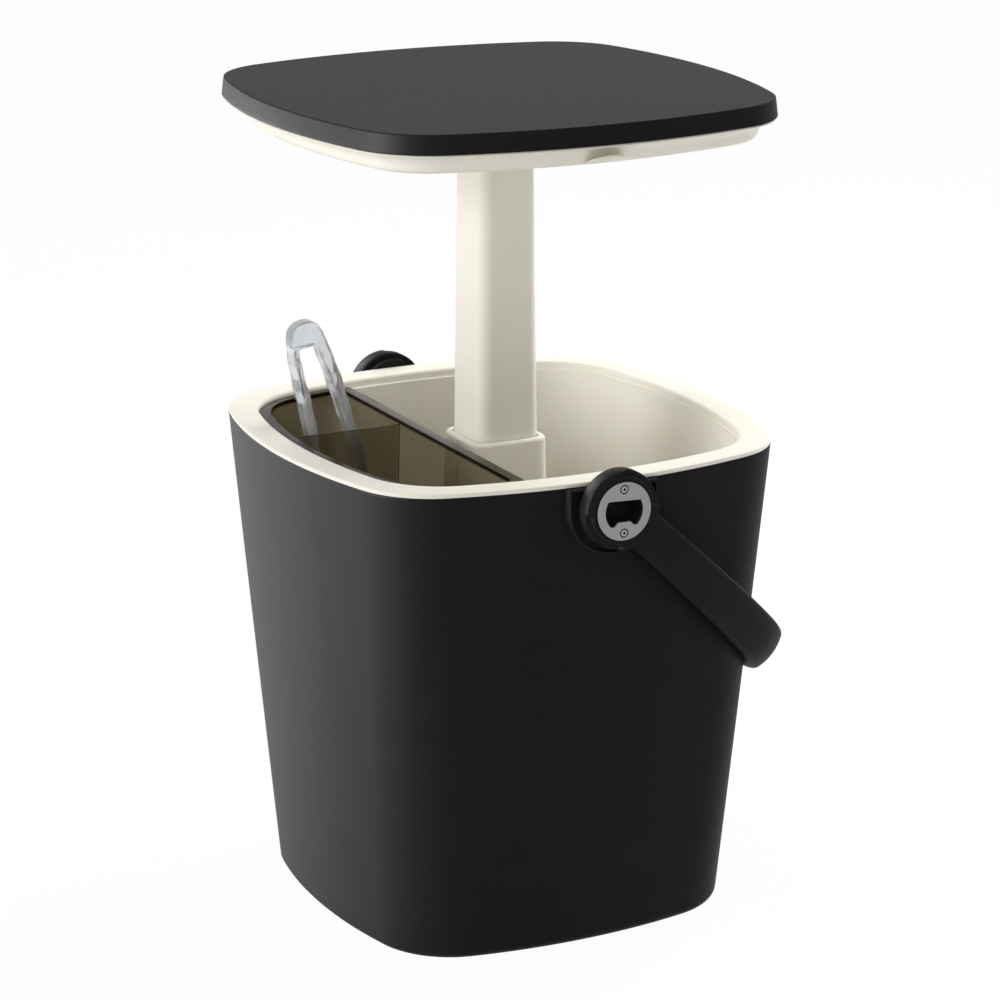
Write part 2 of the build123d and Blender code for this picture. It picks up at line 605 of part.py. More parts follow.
def washer(side):
    """Build the ring between a bracket's collar and the eye of the handle."""
    with BuildPart() as made:
        with BuildSketch(hub_plane(side, BRACKET_FACE + COLLAR_H)):
            Circle(WASHER_R)
            Circle(SPIGOT_R + SEAT, mode=Mode.SUBTRACT)
        extrude(amount=WASHER_T)
    return made


for washer_name, washer_side in (("washer_front", -1), ("washer_back", 1)):
    ring = washer(washer_side)
    ring.part.label = washer_name
    export_step(ring.part, f"parts/{washer_name}.step")

with BuildPart() as opener_plate:
    with BuildSketch(hub_plane(-1, SPIGOT_FACE)):
        Circle(PLATE_R)
        with BuildSketch(mode=Mode.PRIVATE) as opening:
            Circle(HOLE_R)
            with Locations((0, (HOLE_UP - HOLE_DOWN) / 2)):
                Rectangle(4 * HOLE_R, HOLE_UP + HOLE_DOWN, mode=Mode.INTERSECT)
            with BuildLine():
                Polyline(
                    (-TOOTH_HALF - TOOTH_H, -HOLE_DOWN),
                    (-TOOTH_HALF, TOOTH_H - HOLE_DOWN),
                    (TOOTH_HALF, TOOTH_H - HOLE_DOWN),
                    (TOOTH_HALF + TOOTH_H, -HOLE_DOWN),
                    close=True,
                )
            make_face(mode=Mode.SUBTRACT)
        add(opening.sketch_local, mode=Mode.SUBTRACT)
        with Locations(*PLATE_SCREWS):
            Circle(SMALL_SCREW_R + SEAT, mode=Mode.SUBTRACT)
    extrude(amount=PLATE_T)
opener_plate.part.label = "opener_plate"
export_step(opener_plate.part, "parts/opener_plate.step")

with BuildPart() as hub_cap:
    with BuildSketch(hub_plane(1, SPIGOT_FACE)):
        Circle(PLATE_R)
        with Locations(*PLATE_SCREWS):
            Circle(SMALL_SCREW_R + SEAT, mode=Mode.SUBTRACT)
    extrude(amount=PLATE_T)
hub_cap.part.label = "hub_cap"
export_step(hub_cap.part, "parts/hub_cap.step")

for screws_name, screws_side in (("opener_screws", -1), ("hub_cap_screws", 1)):
    with BuildPart() as plate_screws:
        face = SPIGOT_FACE + PLATE_T
        hub_rods(screws_side, PLATE_SCREWS, SMALL_HEAD_R, face, face + SMALL_HEAD_T)
        hub_rods(screws_side, PLATE_SCREWS, SMALL_SCREW_R, SPIGOT_FACE - 7, face)
    plate_screws.part.label = screws_name
    export_step(plate_screws.part, f"parts/{screws_name}.step")


# Bail. Its outline is drawn in the plane of the strap, u away from the pivots and y across.
drop = radians(BAIL_DROP)
bail_u = Vector(cos(drop), 0, -sin(drop))
bail_w = Vector(sin(drop), 0, cos(drop))
bail_pivot = Vector(0, 0, PIVOT_Z)
bail_plane = Plane(origin=bail_pivot, x_dir=bail_u, z_dir=bail_w)


def bail_line(inset):
    """Draw half of the strap's outer line, moved inwards by an inset, and return its points."""
    hub_y = SPIGOT_FACE - inset
    arm_r = BAIL_ARM_R - inset
    bar_r = BAIL_BAR_R - inset
    corner_r = BAIL_CORNER_R - inset
    arm_y = SPIGOT_FACE - BAIL_ARM_R
    bar_u = BAIL_REACH - BAIL_BAR_R
    from_arm = BAIL_ARM_R - BAIL_CORNER_R
    from_bar = BAIL_BAR_R - BAIL_CORNER_R
    apart = hypot(bar_u, arm_y)
    along = (from_arm**2 - from_bar**2 + apart**2) / (2 * apart)
    aside = sqrt(from_arm**2 - along**2)
    toward = Vector(bar_u, -arm_y) / apart
    corner = Vector(0, arm_y) + toward * along + Vector(toward.Y, -toward.X) * aside
    if corner.X < 0:
        corner = Vector(0, arm_y) + toward * along - Vector(toward.Y, -toward.X) * aside
    arm_end = Vector(0, arm_y) + (corner - Vector(0, arm_y)).normalized() * arm_r
    bar_start = Vector(bar_u, 0) + (corner - Vector(bar_u, 0)).normalized() * bar_r
    arm_mid_angle = atan2(arm_end.Y - arm_y, arm_end.X) / 2 + radians(45)
    arm_mid = Vector(0, arm_y) + Vector(cos(arm_mid_angle), sin(arm_mid_angle)) * arm_r
    corner_mid_way = (arm_end - corner).normalized() + (bar_start - corner).normalized()
    corner_mid = corner + corner_mid_way.normalized() * corner_r
    ThreePointArc((0, hub_y), arm_mid, arm_end)
    ThreePointArc(arm_end, corner_mid, bar_start)
    ThreePointArc(bar_start, (BAIL_REACH - inset, 0), (bar_start.X, -bar_start.Y))
    ThreePointArc((bar_start.X, -bar_start.Y), (corner_mid.X, -corner_mid.Y), (arm_end.X, -arm_end.Y))
    ThreePointArc((arm_end.X, -arm_end.Y), (arm_mid.X, -arm_mid.Y), (0, -hub_y))


with BuildPart() as handle_bail:
    with BuildSketch(bail_plane):
        with BuildLine():
            bail_line(0)
            bail_line(BAIL_T)
            Line((0, SPIGOT_FACE), (0, SPIGOT_FACE - BAIL_T))
            Line((0, -SPIGOT_FACE), (0, BAIL_T - SPIGOT_FACE))
        make_face()
    extrude(amount=BAIL_BAR_HALF, both=True)
    with BuildSketch(Plane(origin=bail_pivot, x_dir=bail_u, z_dir=(0, -1, 0))):
        with BuildLine():
            Polyline(
                (0, BAIL_HUB_HALF),
                (BAIL_FLARE_AT, BAIL_BAR_HALF),
                (BAIL_REACH + 1, BAIL_BAR_HALF),
                (BAIL_REACH + 1, -BAIL_BAR_HALF),
                (BAIL_FLARE_AT, -BAIL_BAR_HALF),
                (0, -BAIL_HUB_HALF),
                close=True,
            )
        make_face()
    extrude(amount=2 * SPIGOT_FACE, both=True, mode=Mode.INTERSECT)
    strap_edges = handle_bail.edges().filter_by(lambda edge: edge.length > 2.1 * BAIL_BAR_HALF)
    fillet(strap_edges, BAIL_EDGE_R)
    for side in (-1, 1):
        hub_disc(side, EYE_R, EYE_INNER, EYE_STEP)
        hub_disc(side, EYE_FACE_R, EYE_INNER, EYE_FACE)
        recess_floor = BRACKET_FACE + COLLAR_H + WASHER_T + SEAT
        hub_disc(side, EYE_R - EYE_RING, EYE_INNER, recess_floor, Mode.SUBTRACT)
        hub_disc(side, SPIGOT_R + SPIGOT_FIT, EYE_INNER, EYE_FACE, Mode.SUBTRACT)
        hub_disc(side, PLATE_R + RUN, SPIGOT_FACE - RUN, EYE_FACE, Mode.SUBTRACT)
handle_bail.part.label = "handle_bail"
export_step(handle_bail.part, "parts/handle_bail.step")


# Caddy
def caddy_face(bow, bar):
    """Draw the part of a bowed square that lies on the caddy's side of its straight bar."""
    bowed_face(bow)
    with Locations((bar - RIM.half, 0)):
        Rectangle(2 * RIM.half, 4 * RIM.half, mode=Mode.INTERSECT)
    fillet(vertices().filter_by_position(Axis.X, bar - 0.01, bar + 0.01), CADDY_NOOK_R)


caddy_low = FLANGE_TOP - CADDY_DEPTH
caddy_mouth = OPENING.inset(RUN + CADDY_FLANGE_W)
caddy_bar = CADDY_BAR - CADDY_FLANGE_W
with BuildPart() as caddy_space:
    with BuildSketch(Plane.XY.offset(CADDY_FLOOR)):
        caddy_face(caddy_mouth.inset(CADDY_DRAFT), caddy_bar - CADDY_BAR_DRAFT)
    with BuildSketch(Plane.XY.offset(FLANGE_TOP)):
        caddy_face(caddy_mouth, caddy_bar)
    loft(ruled=True)
    with Locations((-RIM.half, DIVIDER_Y, CADDY_FLOOR - 1)):
        Box(
            2 * RIM.half,
            CADDY_WALL,
            LEDGE_Z - CADDY_FLOOR + 1,
            align=(Align.CENTER, Align.CENTER, Align.MIN),
            mode=Mode.SUBTRACT,
        )

with BuildPart() as caddy:
    with BuildSketch(Plane.XY.offset(caddy_low)):
        caddy_face(caddy_mouth.inset(CADDY_DRAFT - CADDY_WALL), caddy_bar - CADDY_BAR_DRAFT + CADDY_WALL)
    with BuildSketch(Plane.XY.offset(FLANGE_TOP)):
        caddy_face(caddy_mouth.inset(-CADDY_WALL), caddy_bar + CADDY_WALL)
    loft(ruled=True)
    with BuildSketch(Plane.XY.offset(LEDGE_Z)):
        caddy_face(OPENING.inset(RUN), CADDY_BAR)
    extrude(amount=CADDY_FLANGE_T)
    add(caddy_space.part, mode=Mode.SUBTRACT)
caddy.part.label = "caddy"
export_step(caddy.part, "parts/caddy.step")

# Tongs, drawn with the top of their bend at the origin of their own tilted plane
tilt = radians(TONGS_TILT)
toe_in = atan2(TONGS_BOW_HALF - TONGS_TIP_HALF, TONGS_LENGTH - TONGS_BOW_AT)
tip_across = TONGS_TIP_HALF + TONGS_T / 2 * cos(toe_in)
tip_down = TONGS_LENGTH + TONGS_T / 2 * sin(toe_in)
tongs_top = CADDY_FLOOR + RUN + tip_down * cos(tilt) + tip_across * sin(tilt)
tongs_plane = Plane(
    origin=(TONGS_X, TONGS_Y, tongs_top), x_dir=(cos(tilt), 0, sin(tilt)), z_dir=(0, -1, 0)
)
with BuildPart() as tongs:
    with BuildSketch(tongs_plane):
        with BuildLine() as tongs_path:
            FilletPolyline(
                (-TONGS_TIP_HALF, -TONGS_LENGTH),
                (-TONGS_BOW_HALF, -TONGS_BOW_AT),
                (-TONGS_BEND_HALF, 0),
                (TONGS_BEND_HALF, 0),
                (TONGS_BOW_HALF, -TONGS_BOW_AT),
                (TONGS_TIP_HALF, -TONGS_LENGTH),
                radius=(TONGS_BOW_R, TONGS_BEND_R, TONGS_BEND_R, TONGS_BOW_R),
            )
        trace(line_width=TONGS_T)
    extrude(amount=TONGS_W / 2, both=True)
tongs.part.label = "tongs"
export_step(tongs.part, "parts/tongs.step")
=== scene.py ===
"""Look of an insulated tub whose lid is a table on a column, in metres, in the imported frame."""

import logging
import math
from abc import ABC, abstractmethod
from collections.abc import Sequence
from dataclasses import astuple, dataclass, field
from enum import Enum

import bmesh
import bpy
from bmesh.types import BMesh
from bpy.types import ID, GeometryNodeTree, Material, Mesh, Node, NodeTree, Object
from bpy.types import NodeSocket as Socket
from mathutils import Matrix, Vector


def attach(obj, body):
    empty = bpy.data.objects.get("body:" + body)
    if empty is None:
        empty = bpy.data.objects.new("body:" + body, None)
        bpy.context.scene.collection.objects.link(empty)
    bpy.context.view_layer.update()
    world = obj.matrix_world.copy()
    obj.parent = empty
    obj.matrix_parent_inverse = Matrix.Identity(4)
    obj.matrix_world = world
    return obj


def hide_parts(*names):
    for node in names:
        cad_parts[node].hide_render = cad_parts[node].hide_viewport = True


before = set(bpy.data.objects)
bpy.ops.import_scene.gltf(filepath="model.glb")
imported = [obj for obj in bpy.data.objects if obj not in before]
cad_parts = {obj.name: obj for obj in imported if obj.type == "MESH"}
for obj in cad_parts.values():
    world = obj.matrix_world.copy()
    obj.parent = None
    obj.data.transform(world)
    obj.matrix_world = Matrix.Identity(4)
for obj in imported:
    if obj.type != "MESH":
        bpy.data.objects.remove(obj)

LOG = logging.getLogger("scene")

TURN = 2 * math.pi
QUARTER = math.pi / 2

# Sizes that several classes share
PIVOT_Z = 0.326
SPIGOT_END = 0.186
LEDGE_Z = 0.338
CADDY_FLOOR = 0.263
COLUMN_TOP = 0.5612

Pair = tuple[float, float]
Triple = tuple[float, float, float]
Colour = tuple[float, float, float, float]
Ring = list[Vector]
Inputs = dict[str | int, object]


class Body(Enum):
    """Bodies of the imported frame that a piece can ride."""

    TUB = "tub"
    TABLE = "table"
    HANDLE = "handle"
    TONGS = "tongs"


class Slot(Enum):
    """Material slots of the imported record."""

    DARK = "dark_plastic"
    CREAM = "cream_plastic"
    GUIDE = "guide_plastic"
    SMOKED = "smoked_plastic"
    CLEAR = "clear_plastic"
    STEEL = "brushed_steel"
    SCREW = "screw_steel"
    FOAM = "foam"
    RUBBER = "rubber"


class Side(Enum):
    """Ends of the pivot axis."""

    FRONT = -1
    BACK = 1


class Graph:
    """A node tree, with short calls that add to it."""

    def __init__(self, tree: NodeTree) -> None:
        """Take the tree to add to."""
        self.tree = tree

    def feed(self, node: Node, inputs: Inputs) -> None:
        """Set or link the inputs of a node.

        Args:
            node: Node of this tree.
            inputs: A value or another node's output, for each input's name or number.
        """
        for key, value in inputs.items():
            if isinstance(value, Socket):
                self.tree.links.new(value, node.inputs[key])
            else:
                node.inputs[key].default_value = value

    def add(
        self, kind: str, inputs: Inputs | None = None, output: str | int = 0, **settings: object
    ) -> Socket:
        """Add a node.

        Args:
            kind: Type of the node.
            inputs: What its inputs are set or linked to.
            output: Name or number of the output that is wanted.
            settings: Properties to set first.

        Returns:
            The wanted output.
        """
        node = self.tree.nodes.new(kind)
        for key, value in settings.items():
            setattr(node, key, value)
        self.feed(node, inputs or {})
        return node.outputs[output]

    def seen(self) -> Socket:
        """Tell rays that show the background, straight, mirrored or through, from the rest.

        Returns:
            A socket that is 1 for such rays and 0 for the others.
        """
        value = self.add("ShaderNodeLightPath", output="Is Camera Ray")
        rays = value.node.outputs
        for name in ("Is Glossy Ray", "Is Transmission Ray"):
            value = self.add("ShaderNodeMath", {0: value, 1: rays[name]}, operation="MAXIMUM")
        return value


class Surface(Graph):
    """A material's node tree, in the piece's own coordinates."""

    noise_range: Pair = (0.3, 0.7)
    fade: float = 0.0003

    def __init__(self, name: str) -> None:
        """Start a material with its shader.

        Args:
            name: Name of the material.
        """
        self.material = bpy.data.materials.new(name)
        self.material.use_nodes = True
        super().__init__(self.material.node_tree)
        self.shader = self.tree.nodes["Principled BSDF"]
        self.result = self.tree.nodes["Material Output"]
        self.place = self.add("ShaderNodeTexCoord", output="Object")

    def shade(self, **inputs: object) -> None:
        """Set or link the shader's inputs, with underscores for spaces."""
        self.feed(self.shader, {key.replace("_", " "): value for key, value in inputs.items()})

    def noise(self, scale: float, detail: float = 3.0, stretch: Triple = (1, 1, 1)) -> Socket:
        """Add noise.

        Args:
            scale: Cells to the metre.
            detail: Octaves of finer noise.
            stretch: Factors on the three axes.

        Returns:
            The noise's grey output.
        """
        place = self.add("ShaderNodeMapping", {"Vector": self.place, "Scale": stretch})
        inputs = {"Vector": place, "Scale": scale, "Detail": detail}
        return self.add("ShaderNodeTexNoise", inputs)

    def spread(self, value: Socket, low: float = 0.0, high: float = 1.0) -> Socket:
        """Map the middle of a noise onto a range.

        Args:
            value: The noise.
            low: Lower end of the range.
            high: Upper end of the range.

        Returns:
            The mapped value.
        """
        first, last = self.noise_range
        inputs = {"Value": value, "From Min": first, "From Max": last}
        return self.add("ShaderNodeMapRange", {**inputs, "To Min": low, "To Max": high})

    def tint(self, factor: Socket, first: Colour | Socket, second: Colour) -> Socket:
        """Blend two colours by a factor."""
        inputs = {0: factor, 6: first, 7: second}
        return self.add("ShaderNodeMix", inputs, output=2, data_type="RGBA")

    def above(self, height: float, colour: Socket, upper: Colour) -> Socket:
        """Change to another colour above a height.

        Args:
            height: Height in metres at which the change starts.
            colour: Colour below that height.
            upper: Colour above it.

        Returns:
            The colour that follows the height.
        """
        level = self.add("ShaderNodeSeparateXYZ", {"Vector": self.place}, output="Z")
        inputs = {"Value": level, "From Min": height, "From Max": height + self.fade}
        return self.tint(self.add("ShaderNodeMapRange", inputs), colour, upper)

    def bump(self, height: Socket, depth: float, strength: float) -> None:
        """Press a relief into the surface, with its depth in metres and the share that shows."""
        inputs = {"Height": height, "Distance": depth, "Strength": strength}
        self.shade(Normal=self.add("ShaderNodeBump", inputs))


@dataclass(frozen=True)
class Finish(ABC):
    """Two shades that a pattern blends, and a range of roughness."""

    name: str
    low: Colour
    high: Colour
    roughness: Pair

    @abstractmethod
    def mix(self, look: Surface) -> None:
        """Build the finish's own patterns into its material."""

    def make(self) -> Material:
        """Build the material.

        Returns:
            The material.
        """
        look = Surface(self.name)
        self.mix(look)
        return look.material


@dataclass(frozen=True)
class Plastic(Finish):
    """Moulded plastic with a fine spark-eroded grain and faint flow marks."""

    specular: float
    grain: float = 1500.0
    grain_depth: float = 0.00005
    grain_strength: float = 0.3
    flow: float = 11.0
    flow_stretch: Triple = (1, 1, 2.2)
    wear: float = 7.0
    ior: float = 1.5
    glow: float = 0.0
    glow_depth: float = 0.004

    def mix(self, look: Surface) -> None:
        """Build the flow marks, wear and grain.

        Args:
            look: Material to build into.
        """
        flow = look.noise(self.flow, 4.0, self.flow_stretch)
        worn = look.noise(self.flow * self.wear, 5.0)
        look.shade(
            Base_Color=look.tint(look.spread(flow), self.low, self.high),
            Roughness=look.spread(worn, *self.roughness),
            Specular_IOR_Level=self.specular,
            IOR=self.ior,
        )
        if self.glow:
            look.shade(Subsurface_Weight=self.glow, Subsurface_Scale=self.glow_depth)
        look.bump(look.noise(self.grain, 2.0), self.grain_depth, self.grain_strength)


@dataclass(frozen=True)
class SeeThrough(Finish):
    """Polished see-through plastic with a tint and slight ripples, and a darker painted shade above
    a height.
    """

    ripple: float = 60.0
    ripple_depth: float = 0.00012
    ripple_strength: float = 0.25
    stretch: Triple = (1, 1, 1)
    cloud: float = 0.25
    wear: float = 3.0
    clear: float = 1.0
    ior: float = 1.49
    dye: Colour = (1, 1, 1, 1)
    dye_density: float = 0.0
    brim: float = 1.0
    brim_painted_shade: Colour = (1, 1, 1, 1)

    def mix(self, look: Surface) -> None:
        """Build the cloud, handling marks, ripples, dye and the painted shade above the brim.

        Args:
            look: Material to build into.
        """
        cloud = look.noise(self.ripple * self.cloud)
        handled = look.noise(self.ripple * self.wear, 5.0)
        body = look.tint(look.spread(cloud), self.low, self.high)
        look.shade(
            # Above the brim height the colour turns darker and browner: painted shade on the
            # caddy's flange top, which is the same smoked plastic as the rest.
            Base_Color=look.above(self.brim, body, self.brim_painted_shade),
            Roughness=look.spread(handled, *self.roughness),
            Transmission_Weight=self.clear,
            IOR=self.ior,
        )
        waves = look.noise(self.ripple, 1.0, self.stretch)
        look.bump(waves, self.ripple_depth, self.ripple_strength)
        if self.dye_density:
            inputs = {"Color": self.dye, "Density": self.dye_density}
            look.feed(look.result, {"Volume": look.add("ShaderNodeVolumeAbsorption", inputs)})


@dataclass(frozen=True)
class Steel(Finish):
    """Steel with a fine grain along one direction."""

    stretch: Triple
    lines: float = 2600.0
    line_depth: float = 0.00002
    line_strength: float = 0.35
    smear: float = 160.0

    def mix(self, look: Surface) -> None:
        """Build the drawn lines and smears.

        Args:
            look: Material to build into.
        """
        lines = look.noise(self.lines, 2.0, self.stretch)
        look.shade(
            Base_Color=look.tint(look.spread(lines), self.low, self.high),
            Roughness=look.spread(look.noise(self.smear, 4.0), *self.roughness),
            Metallic=1.0,
        )
        look.bump(lines, self.line_depth, self.line_strength)


@dataclass(frozen=True)
class Foam(Finish):
    """Closed-cell foam with visible cells."""

    cells: float = 700.0
    cell_depth: float = 0.0004
    cell_strength: float = 0.6
    smear: float = 90.0

    def mix(self, look: Surface) -> None:
        """Build the cells and smears.

        Args:
            look: Material to build into.
        """
        inputs = {"Vector": look.place, "Scale": self.cells}
        cells = look.add("ShaderNodeTexVoronoi", inputs, output="Distance")
        look.shade(
            Base_Color=look.tint(cells, self.low, self.high),
            Roughness=look.spread(look.noise(self.smear), *self.roughness),
        )
        look.bump(cells, self.cell_depth, self.cell_strength)


FINISHES: dict[Slot, Finish] = {
    Slot.DARK: Plastic(
        "dark_satin", (0.0082, 0.0082, 0.0085, 1), (0.0098, 0.0097, 0.0097, 1), (0.505, 0.535),
        specular=0.055, flow=23.0,
    ),
    Slot.CREAM: Plastic(
        "warm_cream", (0.830, 0.797, 0.706, 1), (0.860, 0.829, 0.742, 1), (0.38, 0.46),
        specular=0.40, glow=0.06,
    ),
    Slot.GUIDE: Plastic(
        "guide_white", (0.70, 0.70, 0.68, 1), (0.76, 0.76, 0.74, 1), (0.30, 0.40), specular=0.45
    ),
    Slot.SMOKED: SeeThrough(
        "smoked_brown", (0.880, 0.860, 0.800, 1), (0.930, 0.910, 0.860, 1), (0.05, 0.10),
        ior=1.14, dye=(0.30, 0.25, 0.13, 1), dye_density=385.0,
        # The brim colour is painted shade that darkens the top of the caddy's flange.
        brim=0.3373, brim_painted_shade=(0.55, 0.49, 0.40, 1),
    ),
    Slot.CLEAR: SeeThrough(
        "clear_acrylic", (0.690, 0.715, 0.750, 1), (0.840, 0.860, 0.890, 1), (0.06, 0.16),
        ripple=130.0, ripple_depth=0.0030, stretch=(1.5, 1.5, 0.4), clear=0.80,
    ),
    Slot.STEEL: Steel(
        "blasted_steel", (0.245, 0.245, 0.24, 1), (0.295, 0.295, 0.29, 1), (0.38, 0.48),
        stretch=(0.3, 1, 1),
    ),
    Slot.SCREW: Steel(
        "screw_steel", (0.27, 0.27, 0.26, 1), (0.33, 0.33, 0.32, 1), (0.26, 0.36),
        stretch=(1, 1, 1), lines=1800.0,
    ),
    Slot.FOAM: Foam("pale_foam", (0.72, 0.69, 0.60, 1), (0.82, 0.80, 0.72, 1), (0.75, 0.95)),
    Slot.RUBBER: Plastic(
        "pad_rubber", (0.014, 0.014, 0.014, 1), (0.022, 0.021, 0.020, 1), (0.78, 0.92),
        specular=0.25, grain=900.0,
    ),
}


def between(first: float, last: float, share: float) -> float:
    """Return the number that lies a share of the way from one to another."""
    return first + (last - first) * share


def climb(first: float, last: float, count: int) -> list[float]:
    """Return evenly spaced numbers up to the last, without the first."""
    return [between(first, last, step / count) for step in range(1, count + 1)]


def arc_points(
    centre: Sequence[float], radius: float, start: float, end: float, count: int
) -> Ring:
    """Return flat points along an arc.

    Args:
        centre: Middle of the arc.
        radius: Radius of the arc.
        start: Angle of the first point, in radians.
        end: Angle at which the arc ends.
        count: Number of points.

    Returns:
        The points, without the arc's last one.
    """
    angles = [between(start, end, step / count) for step in range(count)]
    x, y = centre
    return [Vector((x + radius * math.cos(a), y + radius * math.sin(a))) for a in angles]


def line_points(start: Pair, end: Pair, count: int) -> Ring:
    """Return flat points along a straight line, without its last one."""
    shares = [step / count for step in range(count)]
    return [Vector([between(a, b, share) for a, b in zip(start, end)]) for share in shares]


def circle(radius: float, count: int, centre: Sequence[float] = (0, 0)) -> Ring:
    """Return flat points round a circle."""
    return arc_points(centre, radius, 0, TURN, count)


def lifted(points: Ring, height: float) -> Ring:
    """Return flat points at a height."""
    return [Vector((point.x, point.y, height)) for point in points]


def edge_steps(radius: float, steps: int = 6) -> list[Pair]:
    """Return how far a rounded edge lies behind its wall and below its top, going up."""
    angles = [QUARTER * step / steps for step in range(steps + 1)]
    return [(radius * (1 - math.cos(a)), radius * (1 - math.sin(a))) for a in angles]


@dataclass(frozen=True)
class Bow:
    """A square with bowed sides and round corners."""

    half: float
    side: float
    corner: float

    def inset(self, wall: float) -> "Bow":
        """Return the parallel outline that lies a wall inside this one."""
        return Bow(self.half - wall, self.side - wall, self.corner - wall)

    def toward(self, other: "Bow", share: float) -> "Bow":
        """Return the outline that lies a share of the way to another one."""
        return Bow(*(between(a, b, share) for a, b in zip(astuple(self), astuple(other))))

    def middle(self) -> float:
        """Return where the centre of the +X side's arc lies on the X axis."""
        return self.half - self.side

    def corner_at(self) -> float:
        """Return both coordinates of the centre of the corner's arc."""
        arm = self.side - self.corner
        return (self.middle() + math.sqrt(2 * arm**2 - self.middle() ** 2)) / 2

    def join_angle(self) -> float:
        """Return the angle at which a side's arc meets its corner."""
        return math.atan2(self.corner_at(), self.corner_at() - self.middle())

    def reach(self, across: float) -> float:
        """Return how far a side stands from the middle, at a distance across it."""
        return self.middle() + math.sqrt(self.side**2 - across**2)

    def ring(
        self, height: float, per_side: int = 36, per_corner: int = 16, per_front: int = 0
    ) -> Ring:
        """Return the outline's points at a height, anticlockwise from above.

        Args:
            height: Height of the points.
            per_side: Points along each side.
            per_corner: Points round each corner.
            per_front: Points along the front, if it has more than the other sides.

        Returns:
            The points, without a repeated last one.
        """
        join = self.join_angle()
        at = self.corner_at()
        corner = arc_points((at, at), self.corner, join, QUARTER - join, per_corner)
        points = []
        for quarter, count in enumerate((per_side, per_side, per_side, per_front or per_side)):
            turn = Matrix.Rotation(quarter * QUARTER, 2)
            side = arc_points((self.middle(), 0), self.side, -join, join, count)
            points += [turn @ point for point in side + corner]
        return lifted(points, height)

    def clipped_ring(self, height: float, bar: float, nook: float) -> Ring:
        """Return the points of the part that lies on the -X side of a straight bar.

        Args:
            height: Height of the points.
            bar: Place of the bar on the X axis.
            nook: Radius where the bar meets the bowed sides.

        Returns:
            The points, anticlockwise from above.
        """
        join, at, middle = self.join_angle(), self.corner_at(), self.middle()
        nook_x = bar - nook
        nook_y = middle + math.sqrt((self.side - nook) ** 2 - nook_x**2)
        lean = math.atan2(nook_y - middle, nook_x)
        left, back, front = math.pi, QUARTER, 3 * QUARTER
        bar_points, nook_points, half_points, corner_points, side_points = 12, 8, 18, 14, 36
        points = line_points((bar, -nook_y), (bar, nook_y), bar_points)
        for arc in (
            ((nook_x, nook_y), nook, 0, lean, nook_points),
            ((0, middle), self.side, lean, back + join, half_points),
            ((-at, at), self.corner, back + join, left - join, corner_points),
            ((-middle, 0), self.side, left - join, left + join, side_points),
            ((-at, -at), self.corner, left + join, front - join, corner_points),
            ((0, -middle), self.side, front - join, TURN - lean, half_points),
            ((nook_x, -nook_y), nook, TURN - lean, TURN, nook_points),
        ):
            points += arc_points(*arc)
        return lifted(points, height)


Row = tuple[Bow, float]


def edge_rows(bow: Bow, top: float, radius: float, steps: int) -> list[Row]:
    """Return the rows of a rounded edge, from its wall to its top."""
    return [(bow.inset(setback), top - drop) for setback, drop in edge_steps(radius, steps)]


def new_object(name: str, data: ID) -> Object:
    """Put a mesh, curve, light or camera into the scene.

    Args:
        name: Name of the object.
        data: What it shows.

    Returns:
        The object.
    """
    made = bpy.data.objects.new(name, data)
    bpy.context.scene.collection.objects.link(made)
    return made


def smooth(mesh: Mesh, angle: float) -> None:
    """Shade a mesh smooth, with edges sharper than an angle in degrees kept."""
    mesh.shade_smooth()
    mesh.set_sharp_from_angle(angle=math.radians(angle))


def evaluated_mesh(shown: Object) -> Mesh:
    """Return a plain mesh of an object with its modifiers applied."""
    graph = bpy.context.evaluated_depsgraph_get()
    return bpy.data.meshes.new_from_object(shown.evaluated_get(graph), depsgraph=graph)


def skin(rings: Sequence[Ring], closed: bool = False, into: BMesh | None = None) -> BMesh:
    """Skin a stack of rings that have the same number of points.

    Args:
        rings: The rings in order.
        closed: Join the last ring to the first, instead of capping both.
        into: Mesh to add to.

    Returns:
        The mesh that was added to.
    """
    made = into or bmesh.new()
    rows = [[made.verts.new(point) for point in ring] for ring in rings]
    count = len(rows[0])
    faces = []
    for low, high in zip(rows, rows[1:] + rows[:1] if closed else rows[1:]):
        for index in range(count):
            after = (index + 1) % count
            faces.append(made.faces.new((low[index], low[after], high[after], high[index])))
    if not closed:
        faces += [made.faces.new(rows[0][::-1]), made.faces.new(rows[-1])]
    bmesh.ops.recalc_face_normals(made, faces=faces)
    return made


def finish_mesh(name: str, made: BMesh, angle: float = 32.0) -> Object:
    """Turn a built mesh into a smooth-shaded object.

    Args:
        name: Name of the object.
        made: The built mesh, which is used up.
        angle: Edges sharper than this, in degrees, stay sharp.

    Returns:
        The object.
    """
    mesh = bpy.data.meshes.new(name)
    made.to_mesh(mesh)
    made.free()
    smooth(mesh, angle)
    return new_object(name, mesh)


def bowed(
    name: str, rows: Sequence[Row], points: Sequence[int] = (), closed: bool = False
) -> Object:
    """Skin bowed outlines at their heights."""
    return finish_mesh(name, skin([bow.ring(height, *points) for bow, height in rows], closed))


def cad_copy(node: str, name: str) -> Object:
    """Copy a node's mesh, merge its seams and flats, and shade it smooth.

    Args:
        node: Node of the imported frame.
        name: Name of the copy.

    Returns:
        The copy.
    """
    seam, flat, sharp, most_corners = 1e-6, math.radians(0.2), 28.0, 4
    made = bmesh.new()
    made.from_mesh(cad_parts[node].data)
    bmesh.ops.remove_doubles(made, verts=made.verts, dist=seam)
    bmesh.ops.dissolve_limit(
        made,
        angle_limit=flat,
        verts=made.verts,
        edges=made.edges,
        use_dissolve_boundaries=False,
    )
    large = [face for face in made.faces if len(face.verts) > most_corners]
    bmesh.ops.triangulate(made, faces=large)
    copy = finish_mesh(name, made, sharp)
    copy.modifiers.new("even_shading", "WEIGHTED_NORMAL").keep_sharp = True
    return copy


